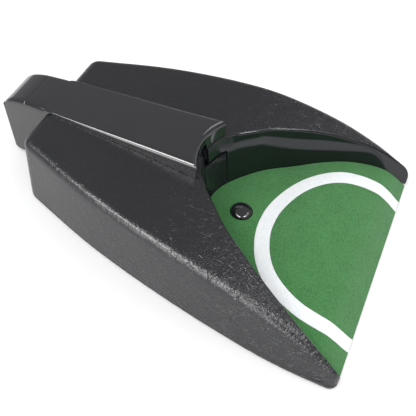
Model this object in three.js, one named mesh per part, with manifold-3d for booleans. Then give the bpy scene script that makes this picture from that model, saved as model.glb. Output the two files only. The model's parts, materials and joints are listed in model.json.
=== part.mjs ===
// An automatic putting cup. A fan-shaped housing opens to the front in a wide mouth, where a flocked
// ramp leads the ball to a trigger button. Behind it a kicker, swung by a cam on a small geared motor
// under the central cover, knocks the ball back out. Millimetres, Z up, the mouth faces -Y. Lengths
// along the object are counted from its front edge; the whole group is then centred on the origin.
import * as THREE from 'three';
import { mergeVertices } from 'three/addons/utils/BufferGeometryUtils.js';
import Module from 'manifold-3d';

const wasm = await Module();
wasm.setup();

// ---------------------------------------------------------------- driving dimensions
const LENGTH = 333.6;
const BODY_LENGTH = 291.6;
const WALL = 2.5;
const GAP = 0.3;
const BASE_BOTTOM = 1.2;
const BASE_TOP = 3.2;
const FLOOR = BASE_TOP + GAP;
const ABOVE_ALL = 95;
const BELOW_ALL = -2;

// Housing, as pairs of [distance from the front, value].
const BASE_HALF_WIDTH = smooth([[0, 113.8], [36.5, 113.7], [73, 110.7], [146, 98.7], [219, 81.8], [291.6, 57.5]]);
const TOP_HALF_WIDTH = smooth([[0, 109.4], [36.5, 106.7], [73, 104.3], [146, 96.6], [219, 80.3], [291.6, 55.3]]);
const TOP_HEIGHT = smooth([[0, 17], [36.5, 36.8], [73, 50.3], [110, 58.8], [146, 63.2], [219, 65], [291.6, 64.1]]);
const EDGE_RADIUS = smooth([[0, 9], [60, 7], [150, 5], [291.6, 5]]);
const FRONT_ROUNDING = 7;
const REAR_ROUNDING = 8;
const REAR_WALL = 4.5;

// Mouth: its edge at the ramp and its upper lip, from the front corner round to the middle of the back.
const RAMP_EDGE = [[102.2, 0], [95.2, 38], [79.2, 76], [56, 114], [41, 130], [28.5, 140], [15, 147.3], [0, 150.6]];
const MOUTH_LIP = [[109.5, 0], [96.9, 38], [80.2, 76], [57.2, 114], [43.2, 130], [33, 141], [19, 153.4], [0, 158.6]];
const WINDOW = { halfWidth: 24, sill: 10.4, top: 48.4 };
const ARM_SLOT = 4.8;

// Ramp: height of the flocked surface along the middle.
const RAMP_HEIGHT = smooth([[0, 1.4], [5, 4.9], [9.7, 8.5], [19.4, 14.2], [29.1, 16.4], [38.8, 17.5],
  [58.2, 18.2], [77.6, 15.6], [97, 11.9], [116.4, 10.5], [135.8, 9.6], [155, 9.1]]);
const TURF_THICKNESS = 1;
const RAMP_THICKNESS = 1.8;
const RAMP_LENGTH = 154;
const LIP_HEIGHT = 0.4;
const RAMP_PLATE_FRONT = 2.5;
const LINE_CENTRE = 36.1;
const LINE_RADIUS = smooth([[0, 60.6], [26, 61.9], [52, 66.3], [78, 71.6], [104, 77], [130, 90.2], [150, 104]]);
const LINE_WIDTH = 12.3;
const LINE_DEPTH = 0.5;

// Central cover and tail.
const COVER_FRONT = 146;
const COVER_HALF_WIDTH = smooth([[146, 28.2], [230, 24.1], [310.7, 19.8], [333.6, 18.8]]);
const COVER_TOP = smooth([[146, 78.1], [200, 73.6], [260, 68.6], [311.5, 64.3], [324, 61], [331, 56.5], [333.6, 53]]);
const COVER_EDGE = 2.6;
const COVER_WALL = 2;
const COVER_ARC_CENTRE = 112.2;
const COVER_ARC_RADIUS = 48.6;
const TAIL_FRONT = BODY_LENGTH + GAP;
const TAIL_REAR_LOW = 329;
const TAIL_REAR_HIGH = 333.6;
const TAIL_CORNER_HEIGHT = 52;

// Trigger button and its switch.
const BUTTON_Y = 120.2;
const BUTTON_RADIUS = 9.25;
const BUTTON_FLANGE = 11.2;
const BUTTON_CROWN = 13.9;

// Kicker: a curved paddle hung from a pin under the front of the cover.
const PIVOT = { y: 168, z: 66 };
const PIN_RADIUS = 1.5;
const RUNNING_HOLE = PIN_RADIUS + GAP;
const PADDLE = { halfWidth: 23.4, bottom: 11, top: 45.2, thickness: 2.4 };
const FOLLOWER = { y: 181, z: 50, radius: 2.5 };

// Gear train: three equal stages of 40 teeth driven by 10, on parallel axes along X.
const GEAR_MODULE = 0.8;
const WHEEL_TEETH = 40;
const PINION_TEETH = 10;
const STAGE = GEAR_MODULE * (WHEEL_TEETH + PINION_TEETH) / 2;
const AXIS_Z = 42;
const CAM_Y = 190;
const SECOND_Y = CAM_Y + STAGE;
const FIRST_Y = SECOND_Y + STAGE;
const MOTOR_Y = FIRST_Y + STAGE;
const CAM = { base: 5, reach: 9.2, lobe: 2.2, from: -3, to: 3 };
const LEFT_PLATE = [-8, -6];
const RIGHT_PLATE = [20, 22];
const CAM_PLANE = [6, 9];
const SECOND_PLANE = [10, 13];
const FIRST_PLANE = [14, 17];
const MOTOR = { radius: 10.2, flat: 7.7, from: -12.6, to: 12, boss: 3 };
const MOTOR_PLATE = [12.3, 13.5];
const MOTOR_SCREWS = { y: 258, heights: [32.5, 51.5] };

// Batteries and their door.
const CELL = { radius: 7.1, length: 48.8, nub: 2.6, nubLength: 1.6, z: 11.2 };
const CELL_ROWS = [222.5, 237.5, 252.5, 267.5];
const BATTERY_BOX = { halfWidth: 28.2, from: 213.8, to: 276.2, top: 20.2, wall: 1.2 };
const DOOR = { halfWidth: 30.6, from: 211.4, to: 278.6, clearance: 0.4 };
const DOOR_HINGE_Y = DOOR.to - (BASE_TOP - BASE_BOTTOM) / 2;

// Fastenings, feet and the sockets in the tail.
const BODY_SCREWS = [[99, 58], [70, 170], [43, 281]];
const TAIL_SCREW = [12, 306];
const BOSS_RADIUS = 4;
const FEET = [[98, 30], [46, 262]];
const FOOT = { radius: 7, height: 2 };
const INLET = { z: 32, radius: 4.5, bore: 2.8, from: 317, to: 331.2 };
const SWITCH = { z: 15, from: 318.5, to: 326.9 };

// ---------------------------------------------------------------- general helpers

/** A smooth curve through [position, value] pairs, as a function of position. */
function smooth(pairs) {
  const last = pairs.length - 1;
  const slopes = pairs.map((pair, i) => {
    const [fromS, fromV] = pairs[Math.max(i - 1, 0)];
    const [toS, toV] = pairs[Math.min(i + 1, last)];
    return (toV - fromV) / (toS - fromS);
  });
  return (position) => {
    const s = THREE.MathUtils.clamp(position, pairs[0][0], pairs[last][0]);
    let i = 0;
    while (i < last - 1 && s > pairs[i + 1][0]) i += 1;
    const span = pairs[i + 1][0] - pairs[i][0];
    const u = (s - pairs[i][0]) / span;
    const blend = u * u * (3 - 2 * u);
    const rise = (u - 2 * u * u + u * u * u) * slopes[i] + (u * u * u - u * u) * slopes[i + 1];
    return pairs[i][1] * (1 - blend) + pairs[i + 1][1] * blend + rise * span;
  };
}

/** Evenly spaced positions from one value to another, both included. */
function steps(from, to, count) {
  return Array.from({ length: count + 1 }, (_, i) => from + (to - from) * i / count);
}

/** A manifold solid from a closed geometry, with its faces turned outwards. */
function solid(geometry) {
  const bare = new THREE.BufferGeometry();
  bare.setAttribute('position', geometry.getAttribute('position'));
  bare.setIndex(geometry.index);
  const merged = mergeVertices(bare, 1e-4);
  const position = merged.getAttribute('position');
  const corners = [0, 1, 2].map(() => new THREE.Vector3());
  const triangles = [];
  let volume = 0;
  for (let i = 0; i < merged.index.count; i += 3) {
    const face = [0, 1, 2].map((k) => merged.index.getX(i + k));
    if (face[0] === face[1] || face[1] === face[2] || face[2] === face[0]) continue;
    face.forEach((vertex, k) => corners[k].fromBufferAttribute(position, vertex));
    volume += corners[0].dot(corners[1].cross(corners[2]));
    triangles.push(face);
  }
  if (volume < 0) triangles.forEach((face) => face.reverse());
  const mesh = new wasm.Mesh({
    numProp: 3,
    vertProperties: new Float32Array(position.array),
    triVerts: new Uint32Array(triangles.flat()),
  });
  return new wasm.Manifold(mesh);
}

/** A geometry from a manifold solid. */
function geometryOf(shape) {
  const mesh = shape.getMesh();
  const geometry = new THREE.BufferGeometry();
  geometry.setAttribute('position', new THREE.BufferAttribute(mesh.vertProperties, 3));
  geometry.setIndex(new THREE.BufferAttribute(mesh.triVerts, 1));
  return geometry;
}

/** A solid skinned over rings of points, every ring with the same number of them. */
function loft(rings) {
  const count = rings[0].length;
  const points = rings.flat();
  const index = [];
  rings.slice(1).forEach((_, r) => {
    for (let i = 0; i < count; i += 1) {
      const a = r * count + i;
      const b = r * count + (i + 1) % count;
      index.push(a, b, b + count, a, b + count, a + count);
    }
  });
  [0, rings.length - 1].forEach((r) => {
    const centre = new THREE.Vector3();
    rings[r].forEach((point) => centre.addScaledVector(point, 1 / count));
    points.push(centre);
    for (let i = 0; i < count; i += 1) {
      const pair = [r * count + i, r * count + (i + 1) % count];
      if (r === 0) pair.reverse();
      index.push(pair[0], pair[1], points.length - 1);
    }
  });
  const geometry = new THREE.BufferGeometry().setFromPoints(points);
  geometry.setIndex(index);
  return solid(geometry);
}

/** A flat outline of [a, b] pairs as a shape. */
function outline(pairs) {
  return new THREE.Shape(pairs.map(([a, b]) => new THREE.Vector2(a, b)));
}

/** An [x, y] outline raised from one height to another. */
function raise(pairs, from, to) {
  const geometry = new THREE.ExtrudeGeometry(outline(pairs), { depth: to - from, bevelEnabled: false });
  return solid(geometry.translate(0, 0, from));
}

/** A [y, z] outline drawn out along X. */
function across(pairs, from, to) {
  const geometry = new THREE.ExtrudeGeometry(outline(pairs), { depth: to - from, bevelEnabled: false });
  const basis = new THREE.Matrix4().makeBasis(
    new THREE.Vector3(0, 1, 0), new THREE.Vector3(0, 0, 1), new THREE.Vector3(1, 0, 0));
  return solid(geometry.translate(0, 0, from).applyMatrix4(basis));
}

/** A box between two corners. */
function block(low, high) {
  const size = low.map((value, i) => high[i] - value);
  const centre = low.map((value, i) => (value + high[i]) / 2);
  return solid(new THREE.BoxGeometry(...size).translate(...centre));
}

/** A round bar along X, at a given height and distance. */
function barX(y, z, radius, from, to, sides = 24) {
  const bar = new THREE.CylinderGeometry(radius, radius, to - from, sides).rotateZ(-Math.PI / 2);
  return solid(bar.translate((from + to) / 2, y, z));
}

/** A round bar along Y. */
function barY(x, z, radius, from, to, sides = 24) {
  return solid(new THREE.CylinderGeometry(radius, radius, to - from, sides).translate(x, (from + to) / 2, z));
}

/** A round upright bar. */
function barZ(x, y, radius, from, to, sides = 24) {
  const bar = new THREE.CylinderGeometry(radius, radius, to - from, sides).rotateX(Math.PI / 2);
  return solid(bar.translate(x, y, (from + to) / 2));
}

/** A solid turned about an upright axis from [radius, height] pairs that start and end on it. */
function turned(pairs, x, y, sides = 32) {
  const profile = pairs.map(([radius, height]) => new THREE.Vector2(radius, height));
  return solid(new THREE.LatheGeometry(profile, sides).rotateX(Math.PI / 2).translate(x, y, 0));
}

/** Points of a round arc about a centre, angles in degrees. */
function arc(centreA, centreB, radius, from, to, count) {
  return steps(from, to, count).map((angle) => {
    const turn = THREE.MathUtils.degToRad(angle);
    return [centreA + radius * Math.cos(turn), centreB + radius * Math.sin(turn)];
  });
}

/** A round wire of a few turns about an axis, standing on the XY plane. */
function coil(radius, wire, height, turns, segmentsPerTurn = 8, sides = 5) {
  class Helix extends THREE.Curve {
    getPoint(t, target = new THREE.Vector3()) {
      const turn = 2 * Math.PI * turns * t;
      return target.set(radius * Math.cos(turn), radius * Math.sin(turn), wire + (height - 2 * wire) * t);
    }
  }
  const section = outline(arc(0, 0, wire, 0, 360 - 360 / sides, sides - 1));
  return new THREE.ExtrudeGeometry(section, {
    steps: Math.round(turns * segmentsPerTurn), extrudePath: new Helix(), bevelEnabled: false,
  });
}

// ---------------------------------------------------------------- finishes

const FINISHES = {
  crinkleBlack: { color: 0x1b1b1d, roughness: 0.42, metalness: 0 },
  glossBlack: { color: 0x101012, roughness: 0.12, metalness: 0 },
  plainBlack: { color: 0x202023, roughness: 0.55, metalness: 0 },
  green: { color: 0x2f7d3c, roughness: 0.95, metalness: 0 },
  white: { color: 0xeef2f5, roughness: 0.9, metalness: 0 },
  rubber: { color: 0x1c1c1c, roughness: 0.85, metalness: 0 },
  steel: { color: 0xb8bcc0, roughness: 0.3, metalness: 1 },
  brass: { color: 0xc29a4a, roughness: 0.3, metalness: 1 },
  gearWhite: { color: 0xe6e3d8, roughness: 0.5, metalness: 0 },
  framePlastic: { color: 0x8b8f94, roughness: 0.6, metalness: 0 },
  board: { color: 0x1f5f3a, roughness: 0.5, metalness: 0 },
  cell: { color: 0x3c4a66, roughness: 0.35, metalness: 0.3 },
};

const group = new THREE.Group();
group.position.y = -LENGTH / 2;

/** Adds a finished piece to the object, from a solid or a geometry. */
function add(name, shape, finish) {
  const geometry = shape.isBufferGeometry ? shape : geometryOf(shape);
  const mesh = new THREE.Mesh(geometry, new THREE.MeshStandardMaterial(FINISHES[finish]));
  mesh.name = name;
  group.add(mesh);
}

// ---------------------------------------------------------------- housing

/** How far the housing draws in at its rounded front and rear ends. */
function endInset(y) {
  const intoFront = Math.max(FRONT_ROUNDING - y, 0) / FRONT_ROUNDING;
  const intoRear = Math.max(y - (BODY_LENGTH - REAR_ROUNDING), 0) / REAR_ROUNDING;
  const front = FRONT_ROUNDING * (1 - Math.sqrt(1 - intoFront * intoFront));
  const rear = REAR_ROUNDING * (1 - Math.sqrt(1 - intoRear * intoRear));
  return front + rear;
}

/** The housing's cross-section at a distance from the front, drawn in by a wall's thickness. */
function housingSection(y, bottom, inset) {
  const baseWidth = BASE_HALF_WIDTH(y) - inset;
  const topWidth = TOP_HALF_WIDTH(y) - inset;
  const top = TOP_HEIGHT(y) - inset;
  const lean = (baseWidth - topWidth) / top;
  const radius = THREE.MathUtils.clamp(EDGE_RADIUS(y) - inset, 1, 0.9 * (top - FLOOR));
  const edge = new THREE.QuadraticBezierCurve(
    new THREE.Vector2(topWidth + lean * radius, top - radius),
    new THREE.Vector2(topWidth, top),
    new THREE.Vector2(topWidth - radius, top));
  const right = [new THREE.Vector2(baseWidth - lean * bottom, bottom), ...edge.getPoints(5)];
  const left = right.map((point) => new THREE.Vector2(-point.x, point.y)).reverse();
  return [...right, ...left].map((point) => new THREE.Vector3(point.x, y, point.y));
}

/** The mouth's outline at a height, grown outwards by a margin. */
function mouthOutline(z, margin) {
  const edge = new THREE.SplineCurve(RAMP_EDGE.map(([x, y]) => new THREE.Vector2(x, y)));
  const lip = new THREE.SplineCurve(MOUTH_LIP.map(([x, y]) => new THREE.Vector2(x, y)));
  const right = steps(0, 1, 34).map((step) => {
    const t = step ** 1.4;
    const low = edge.getPoint(t);
    const high = lip.getPoint(t);
    const rise = TOP_HEIGHT(high.y) - RAMP_HEIGHT(low.y);
    const along = edge.getTangent(t);
    const outward = t === 1 ? new THREE.Vector2(0, 1) : new THREE.Vector2(along.y, -along.x);
    const drift = (z - RAMP_HEIGHT(low.y)) / rise;
    return low.lerp(high, drift).addScaledVector(outward, margin);
  });
  const front = right[0].clone().setY(-6);
  const half = [front, ...right];
  const mirrored = half.slice(0, -1).map((point) => new THREE.Vector2(-point.x, point.y)).reverse();
  return [...half, ...mirrored].map((point) => new THREE.Vector3(point.x, point.y, z));
}

/** The space of the mouth, grown outwards by a margin. */
function mouthSpace(margin) {
  const heights = [BELOW_ALL, 8, 16, 24, 36, ABOVE_ALL];
  return loft(heights.map((z) => mouthOutline(z, margin)));
}

const frontStations = [0, 0.4, 1.4, 3, 5, FRONT_ROUNDING];
const rearStations = [5.6, 3.6, 2, 0.9, 0.25, 0].map((before) => BODY_LENGTH - before);
const housingStations = [...frontStations, ...steps(16, BODY_LENGTH - REAR_ROUNDING, 24), ...rearStations];
const housingOutside = loft(housingStations.map((y) => housingSection(y, FLOOR, endInset(y))));
const housingInside = loft(
  steps(WALL, BODY_LENGTH - REAR_WALL, 24).map((y) => housingSection(y, BELOW_ALL, WALL)));

/** The two mirrored places of an [x, y] pair. */
function bothSides([x, y]) {
  return [[x, y], [-x, y]];
}

/** The housing's moulded top: walls, mouth, slot for the kicker and drive, and screw bosses. */
function topShell() {
  let shell = housingOutside.subtract(mouthSpace(0));
  shell = shell.subtract(housingInside.subtract(mouthSpace(WALL)));
  BODY_SCREWS.flatMap(bothSides).forEach(([x, y]) => {
    const post = barZ(x, y, BOSS_RADIUS, FLOOR, TOP_HEIGHT(y) - 1, 14);
    shell = shell.add(post.subtract(mouthSpace(0)));
    shell = shell.subtract(barZ(x, y, 1.6, BELOW_ALL, FLOOR + 10, 12));
  });
  const slot = [[-23.4, 163], [23.4, 163], [20.6, 258], [-20.6, 258]];
  shell = shell.subtract(raise(slot, WINDOW.sill, ABOVE_ALL));
  const window = block([-WINDOW.halfWidth, 139, WINDOW.sill], [WINDOW.halfWidth, 162, WINDOW.top]);
  shell = shell.subtract(window).subtract(block([-ARM_SLOT, 145, WINDOW.sill], [ARM_SLOT, 165, ABOVE_ALL]));
  return shell.subtract(block([-9, BODY_LENGTH - REAR_WALL - 2, 24], [9, BODY_LENGTH + 1, 34]));
}

/** The base plate, flush with the housing's foot, with a tongue under the tail. */
function basePlate() {
  const sides = housingStations.map((y) => [BASE_HALF_WIDTH(y) - endInset(y) - 0.3, y]);
  const tongue = [[18.6, BODY_LENGTH], [18.2, TAIL_REAR_LOW - 0.6]];
  const half = [...sides, ...tongue];
  const mirrored = half.map(([x, y]) => [-x, y]).reverse();
  let plate = raise([...half, ...mirrored], BASE_BOTTOM, BASE_TOP);
  plate = plate.subtract(block([-104, -1, BELOW_ALL], [104, 8.4, FLOOR]));
  const hole = DOOR.halfWidth + DOOR.clearance;
  plate = plate.subtract(block([-hole, DOOR.from - DOOR.clearance, 0], [hole, DOOR.to + DOOR.clearance, 5]));
  [...BODY_SCREWS, TAIL_SCREW].flatMap(bothSides).forEach(([x, y]) => {
    plate = plate.subtract(barZ(x, y, 1.6, 0, 5, 12));
    plate = plate.subtract(barZ(x, y, 2.9, 0, 2.4, 16));
  });
  FEET.flatMap(bothSides).forEach(([x, y]) => {
    plate = plate.subtract(barZ(x, y, FOOT.radius + 0.4, 0, FOOT.height + GAP, 24));
  });
  return plate;
}

/** A screw with a crossed recess in its head, standing in a counterbore of the base. */
function baseScrew(x, y) {
  const profile = [[0, 1.35], [2.6, 1.35], [2.6, 2.2], [1.3, 2.2], [1.3, 12], [0, 13]];
  const screw = turned(profile, x, y, 12);
  const recess = block([x - 1.4, y - 0.3, 1], [x + 1.4, y + 0.3, 1.8]);
  return screw.subtract(recess).subtract(block([x - 0.3, y - 1.4, 1], [x + 0.3, y + 1.4, 1.8]));
}

// ---------------------------------------------------------------- ramp

/** A slab that follows the ramp, between two depths under its flocked surface. */
function rampSlab(upper, lower) {
  const along = steps(0, RAMP_LENGTH, 30);
  const top = along.map((y) => [y, Math.max(RAMP_HEIGHT(y) - upper, LIP_HEIGHT + 0.2)]);
  const bottom = along.map((y) => [y, Math.max(RAMP_HEIGHT(y) - lower, LIP_HEIGHT)]).reverse();
  return across([...top, ...bottom], -115, 115);
}

/** The plan outline of the target line, between two distances from its middle. */
function lineBand(margin) {
  const angles = steps(-142, 142, 64);
  const point = (angle, offset) => {
    const radius = LINE_RADIUS(Math.abs(angle)) + offset;
    const turn = THREE.MathUtils.degToRad(angle);
    return [radius * Math.sin(turn), LINE_CENTRE + radius * Math.cos(turn)];
  };
  const half = LINE_WIDTH / 2 + margin;
  const outer = angles.map((angle) => point(angle, half));
  const inner = angles.map((angle) => point(angle, -half)).reverse();
  return raise([...outer, ...inner], BELOW_ALL, ABOVE_ALL);
}

const buttonHole = barZ(0, BUTTON_Y, BUTTON_RADIUS + 0.5, BELOW_ALL, ABOVE_ALL, 32);
const rampSpace = mouthSpace(-0.4);
const behindLip = block([-120, RAMP_PLATE_FRONT, BELOW_ALL], [120, 160, ABOVE_ALL]);

function turf() {
  const sheet = rampSlab(0, TURF_THICKNESS).intersect(rampSpace).subtract(buttonHole);
  const groove = lineBand(0.15).intersect(rampSlab(-1, LINE_DEPTH));
  return sheet.subtract(groove);
}

function targetLine() {
  const strip = rampSlab(-0.05, LINE_DEPTH - 0.15);
  return strip.intersect(lineBand(0)).intersect(mouthSpace(-0.5));
}

function rampPlate() {
  const depth = TURF_THICKNESS + GAP;
  const plate = rampSlab(depth, depth + RAMP_THICKNESS).intersect(behindLip);
  return plate.intersect(mouthSpace(-0.5)).subtract(buttonHole);
}

// ---------------------------------------------------------------- cover and tail

/** The cover's cross-section between a bottom and its own top, drawn in by a margin. */
function coverSection(y, bottom, top, inset, sharpness = 5) {
  const width = COVER_HALF_WIDTH(y) - inset;
  const radius = Math.min(COVER_EDGE, (top - bottom) / 2);
  const edge = new THREE.QuadraticBezierCurve(
    new THREE.Vector2(width, top - radius),
    new THREE.Vector2(width, top),
    new THREE.Vector2(width - radius, top));
  const right = [new THREE.Vector2(width, bottom), ...edge.getPoints(sharpness)];
  const left = right.map((point) => new THREE.Vector2(-point.x, point.y)).reverse();
  return [...right, ...left].map((point) => new THREE.Vector3(point.x, y, point.y));
}

/** Height of the tail's rear wall above a distance from the front. */
function tailFloor(y, low) {
  const climb = (y - TAIL_REAR_LOW) / (TAIL_REAR_HIGH - TAIL_REAR_LOW);
  return low + Math.max(climb, 0) * (TAIL_CORNER_HEIGHT - low);
}

/** The hollow scooped out of the cover's front, grown by a margin. */
function coverFront(margin) {
  const scoop = new THREE.CylinderGeometry(
    COVER_ARC_RADIUS + 1.8 + margin, COVER_ARC_RADIUS - 3.2 + margin, 30, 72);
  return solid(scoop.rotateX(Math.PI / 2).translate(0, COVER_ARC_CENTRE, 73));
}

function bridgeCover() {
  const strip = loft(steps(COVER_FRONT, 300, 16).map((y) =>
    coverSection(y, TOP_HEIGHT(y) + GAP, COVER_TOP(y), 0)));
  const tailStations = [...steps(TAIL_FRONT, TAIL_REAR_LOW, 8), ...steps(330, TAIL_REAR_HIGH, 4)];
  const tail = loft(tailStations.map((y) => coverSection(y, tailFloor(y, FLOOR), COVER_TOP(y), 0)));
  const stripHollow = loft(steps(COVER_FRONT - 1, 296, 10).map((y) =>
    coverSection(y, 50, COVER_TOP(y) - COVER_WALL, COVER_WALL)));
  const overBody = raise([[-40, 100], [40, 100], [40, TAIL_FRONT - 8], [-40, TAIL_FRONT - 8]], 0, 100);
  const hollowStations = steps(TAIL_FRONT - 1, TAIL_REAR_LOW - COVER_WALL, 6);
  const rearHollow = steps(TAIL_REAR_LOW - 1.2, TAIL_REAR_HIGH - COVER_WALL - 0.6, 3);
  const tailHollow = loft([...hollowStations, ...rearHollow].map((y) =>
    coverSection(y, tailFloor(y + COVER_WALL, BELOW_ALL), COVER_TOP(y + COVER_WALL) - COVER_WALL, COVER_WALL)));
  let cover = strip.add(tail).subtract(coverFront(0));
  cover = cover.subtract(stripHollow.intersect(overBody).subtract(coverFront(COVER_WALL))).subtract(tailHollow);
  cover = cover.subtract(block([-ARM_SLOT, 145, 50], [ARM_SLOT, 170, PIVOT.z + 3]));
  bothSides(TAIL_SCREW).forEach(([x, y]) => {
    cover = cover.add(barZ(x, y, BOSS_RADIUS, FLOOR, COVER_TOP(y) - 1));
    cover = cover.subtract(barZ(x, y, 1.6, BELOW_ALL, FLOOR + 10, 12));
  });
  cover = cover.subtract(barY(0, INLET.z, INLET.radius + GAP, 322, 340));
  return cover.subtract(block([-5.4, 322, SWITCH.z - 2.4], [5.4, 340, SWITCH.z + 2.4]));
}

// ---------------------------------------------------------------- kicker

function kicker() {
  const slice = block([-PADDLE.halfWidth, 138, PADDLE.bottom], [PADDLE.halfWidth, 163, PADDLE.top]);
  const paddle = mouthSpace(PADDLE.thickness + 0.2).subtract(mouthSpace(0.2)).intersect(slice);
  const arm = across([[155, 26], [158, 26], [172.5, 62.5], [165, 70.4], [157.6, 45]], -4, 4);
  const hub = barX(PIVOT.y, PIVOT.z, 5, -5.5, 5.5, 32);
  const reach = new THREE.Vector2(FOLLOWER.y - PIVOT.y, FOLLOWER.z - PIVOT.z);
  const side = new THREE.Vector2(-reach.y, reach.x).setLength(FOLLOWER.radius);
  const shank = across([
    [PIVOT.y + side.x, PIVOT.z + side.y], [PIVOT.y - side.x, PIVOT.z - side.y],
    [FOLLOWER.y - side.x, FOLLOWER.z - side.y], [FOLLOWER.y + side.x, FOLLOWER.z + side.y]], -3, 3);
  const tip = barX(FOLLOWER.y, FOLLOWER.z, FOLLOWER.radius, -3, 3);
  const bore = barX(PIVOT.y, PIVOT.z, RUNNING_HOLE, -9, 9);
  return paddle.add(arm).add(hub).add(shank).add(tip).subtract(bore);
}

// ---------------------------------------------------------------- drive

/** A spur gear about an axis along X, with its first tooth turned by a phase in teeth. */
function gear(teeth, y, plane, phase, boreRadius = RUNNING_HOLE) {
  const pitchRadius = GEAR_MODULE * teeth / 2;
  const tip = pitchRadius + 0.68;
  const root = pitchRadius - 1;
  const profile = [[-0.36, root], [-0.13, tip], [0.13, tip], [0.36, root]];
  const points = [];
  for (let i = 0; i < teeth; i += 1) {
    profile.forEach(([shift, radius]) => {
      const turn = 2 * Math.PI * (i + phase + shift) / teeth;
      points.push([y + radius * Math.cos(turn), AXIS_Z + radius * Math.sin(turn)]);
    });
  }
  return across(points, plane[0], plane[1]).subtract(barX(y, AXIS_Z, boreRadius, -20, 30));
}

/** A wheel with its smaller pinion, moulded as one. */
function compoundGear(y, wheelPlane, pinionPlane) {
  const wheel = gear(WHEEL_TEETH, y, wheelPlane, 0);
  const pinion = gear(PINION_TEETH, y, [pinionPlane[0], wheelPlane[0] + 0.5], 0.5);
  return wheel.add(pinion);
}

/** The drive's side plate, with its holes for the shafts and the kicker's pin. */
function sidePlate([from, to], rear) {
  const profile = [[161.8, FLOOR], [211, FLOOR], [211, 20.8], [rear, 20.8], [rear, 53], [232, 57], [182, 57],
    [176, 72.4], [163.8, 72.4], [163.8, 58], [161.8, 58]];
  let plate = across(profile, from, to);
  [[PIVOT.y, PIVOT.z], [CAM_Y, AXIS_Z], [SECOND_Y, AXIS_Z], [FIRST_Y, AXIS_Z]].forEach(([y, z]) => {
    plate = plate.subtract(barX(y, z, RUNNING_HOLE, from - 1, to + 1));
  });
  return plate;
}

function cam() {
  const centre = CAM.reach - CAM.lobe;
  const snail = across([...arc(CAM_Y, AXIS_Z, CAM.base, 40, 320, 16),
    ...arc(CAM_Y + centre, AXIS_Z, CAM.lobe, -80, 80, 8)], CAM.from, CAM.to);
  const collar = barX(CAM_Y, AXIS_Z, 3.6, CAM.to - 0.5, CAM_PLANE[0] - GAP);
  return snail.add(collar).subtract(barX(CAM_Y, AXIS_Z, RUNNING_HOLE, -20, 20));
}

function motorCan() {
  const body = barX(MOTOR_Y, AXIS_Z, MOTOR.radius, MOTOR.from, MOTOR.to, 32);
  const flats = block([-20, MOTOR_Y - 12, AXIS_Z - MOTOR.flat], [20, MOTOR_Y + 12, AXIS_Z + MOTOR.flat]);
  return body.intersect(flats).add(barX(MOTOR_Y, AXIS_Z, MOTOR.boss, MOTOR.to - 1, MOTOR_PLATE[1] - 0.1));
}

function motorBracket() {
  const upright = block([MOTOR_PLATE[0], 238.6, 20.6], [MOTOR_PLATE[1], 262, 53.4]);
  const foot = block([-2, 238.6, 20.6], [MOTOR_PLATE[1], 262, 22.2]);
  let bracket = upright.add(foot).subtract(barX(MOTOR_Y, AXIS_Z, MOTOR.boss + GAP, 10, 16));
  MOTOR_SCREWS.heights.forEach((z) => {
    bracket = bracket.subtract(barX(MOTOR_SCREWS.y, z, 1.1, 10, 16, 12));
  });
  return bracket;
}

// ---------------------------------------------------------------- trigger

/** The trigger button: a hollow dome with a flange that keeps it under the ramp. */
function triggerButton() {
  const dome = new THREE.QuadraticBezierCurve(
    new THREE.Vector2(BUTTON_RADIUS, 9.8), new THREE.Vector2(BUTTON_RADIUS - 0.6, BUTTON_CROWN),
    new THREE.Vector2(0, BUTTON_CROWN));
  const crown = dome.getPoints(6).map((point) => [Math.max(point.x, 0), point.y]);
  const inner = [[0, 11.9], [5, 11.4], [6.4, 9.5], [6.4, 5.2]];
  return turned([...inner, [BUTTON_FLANGE, 5.2], [BUTTON_FLANGE, 6.1], [BUTTON_RADIUS, 6.1], ...crown],
    0, BUTTON_Y, 32);
}

// ---------------------------------------------------------------- battery bay

function batteryBox() {
  const { halfWidth, from, to, top, wall } = BATTERY_BOX;
  const outside = block([-halfWidth, from, FLOOR], [halfWidth, to, top]);
  const inside = block([wall - halfWidth, from + wall, 0], [halfWidth - wall, to - wall, top - wall]);
  return outside.subtract(inside);
}

/** One battery lying along X, its raised end on the given side. */
function cell(y, side) {
  const half = CELL.length / 2;
  const body = barX(y, CELL.z, CELL.radius, -half, half, 20);
  const nub = side > 0 ? [half - 1, half + CELL.nubLength] : [-half - CELL.nubLength, 1 - half];
  return body.add(barX(y, CELL.z, CELL.nub, nub[0], nub[1], 12));
}

/** The battery door, its rear edge rounded about the hinge line. */
function batteryDoor() {
  const middle = (BASE_BOTTOM + BASE_TOP) / 2;
  const thickness = BASE_TOP - BASE_BOTTOM;
  const edge = arc(DOOR_HINGE_Y, middle, thickness / 2, 90, -90, 8);
  const side = [[DOOR.from, BASE_TOP], ...edge, [DOOR.from, BASE_BOTTOM]];
  const panel = across(side, -DOOR.halfWidth, DOOR.halfWidth);
  const grip = block([-8, DOOR.from - 1, 0], [8, DOOR.from + 2.5, 2]);
  return panel.subtract(grip);
}

// ---------------------------------------------------------------- tail fittings

function inlet() {
  const barrel = barY(0, INLET.z, INLET.radius, INLET.from, INLET.to, 32);
  const well = barY(0, INLET.z, INLET.bore, INLET.to - 9, INLET.to + 1, 24);
  return barrel.subtract(well).add(barY(0, INLET.z, 0.8, INLET.to - 10, INLET.to - 1.2, 16));
}

function controlBoard() {
  const board = block([-30, 281.5, 8], [30, 283.1, 46]);
  const parts = [
    block([-24, 279.2, 30], [-12, 281.7, 40]),
    block([6, 279.6, 12], [16, 281.7, 18]),
    barY(20, 36, 3.2, 277, 281.7),
    block([-20, 279.6, 14], [-13, 281.7, 19]),
  ];
  return parts.reduce((whole, piece) => whole.add(piece), board);
}

// ---------------------------------------------------------------- the object

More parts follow.
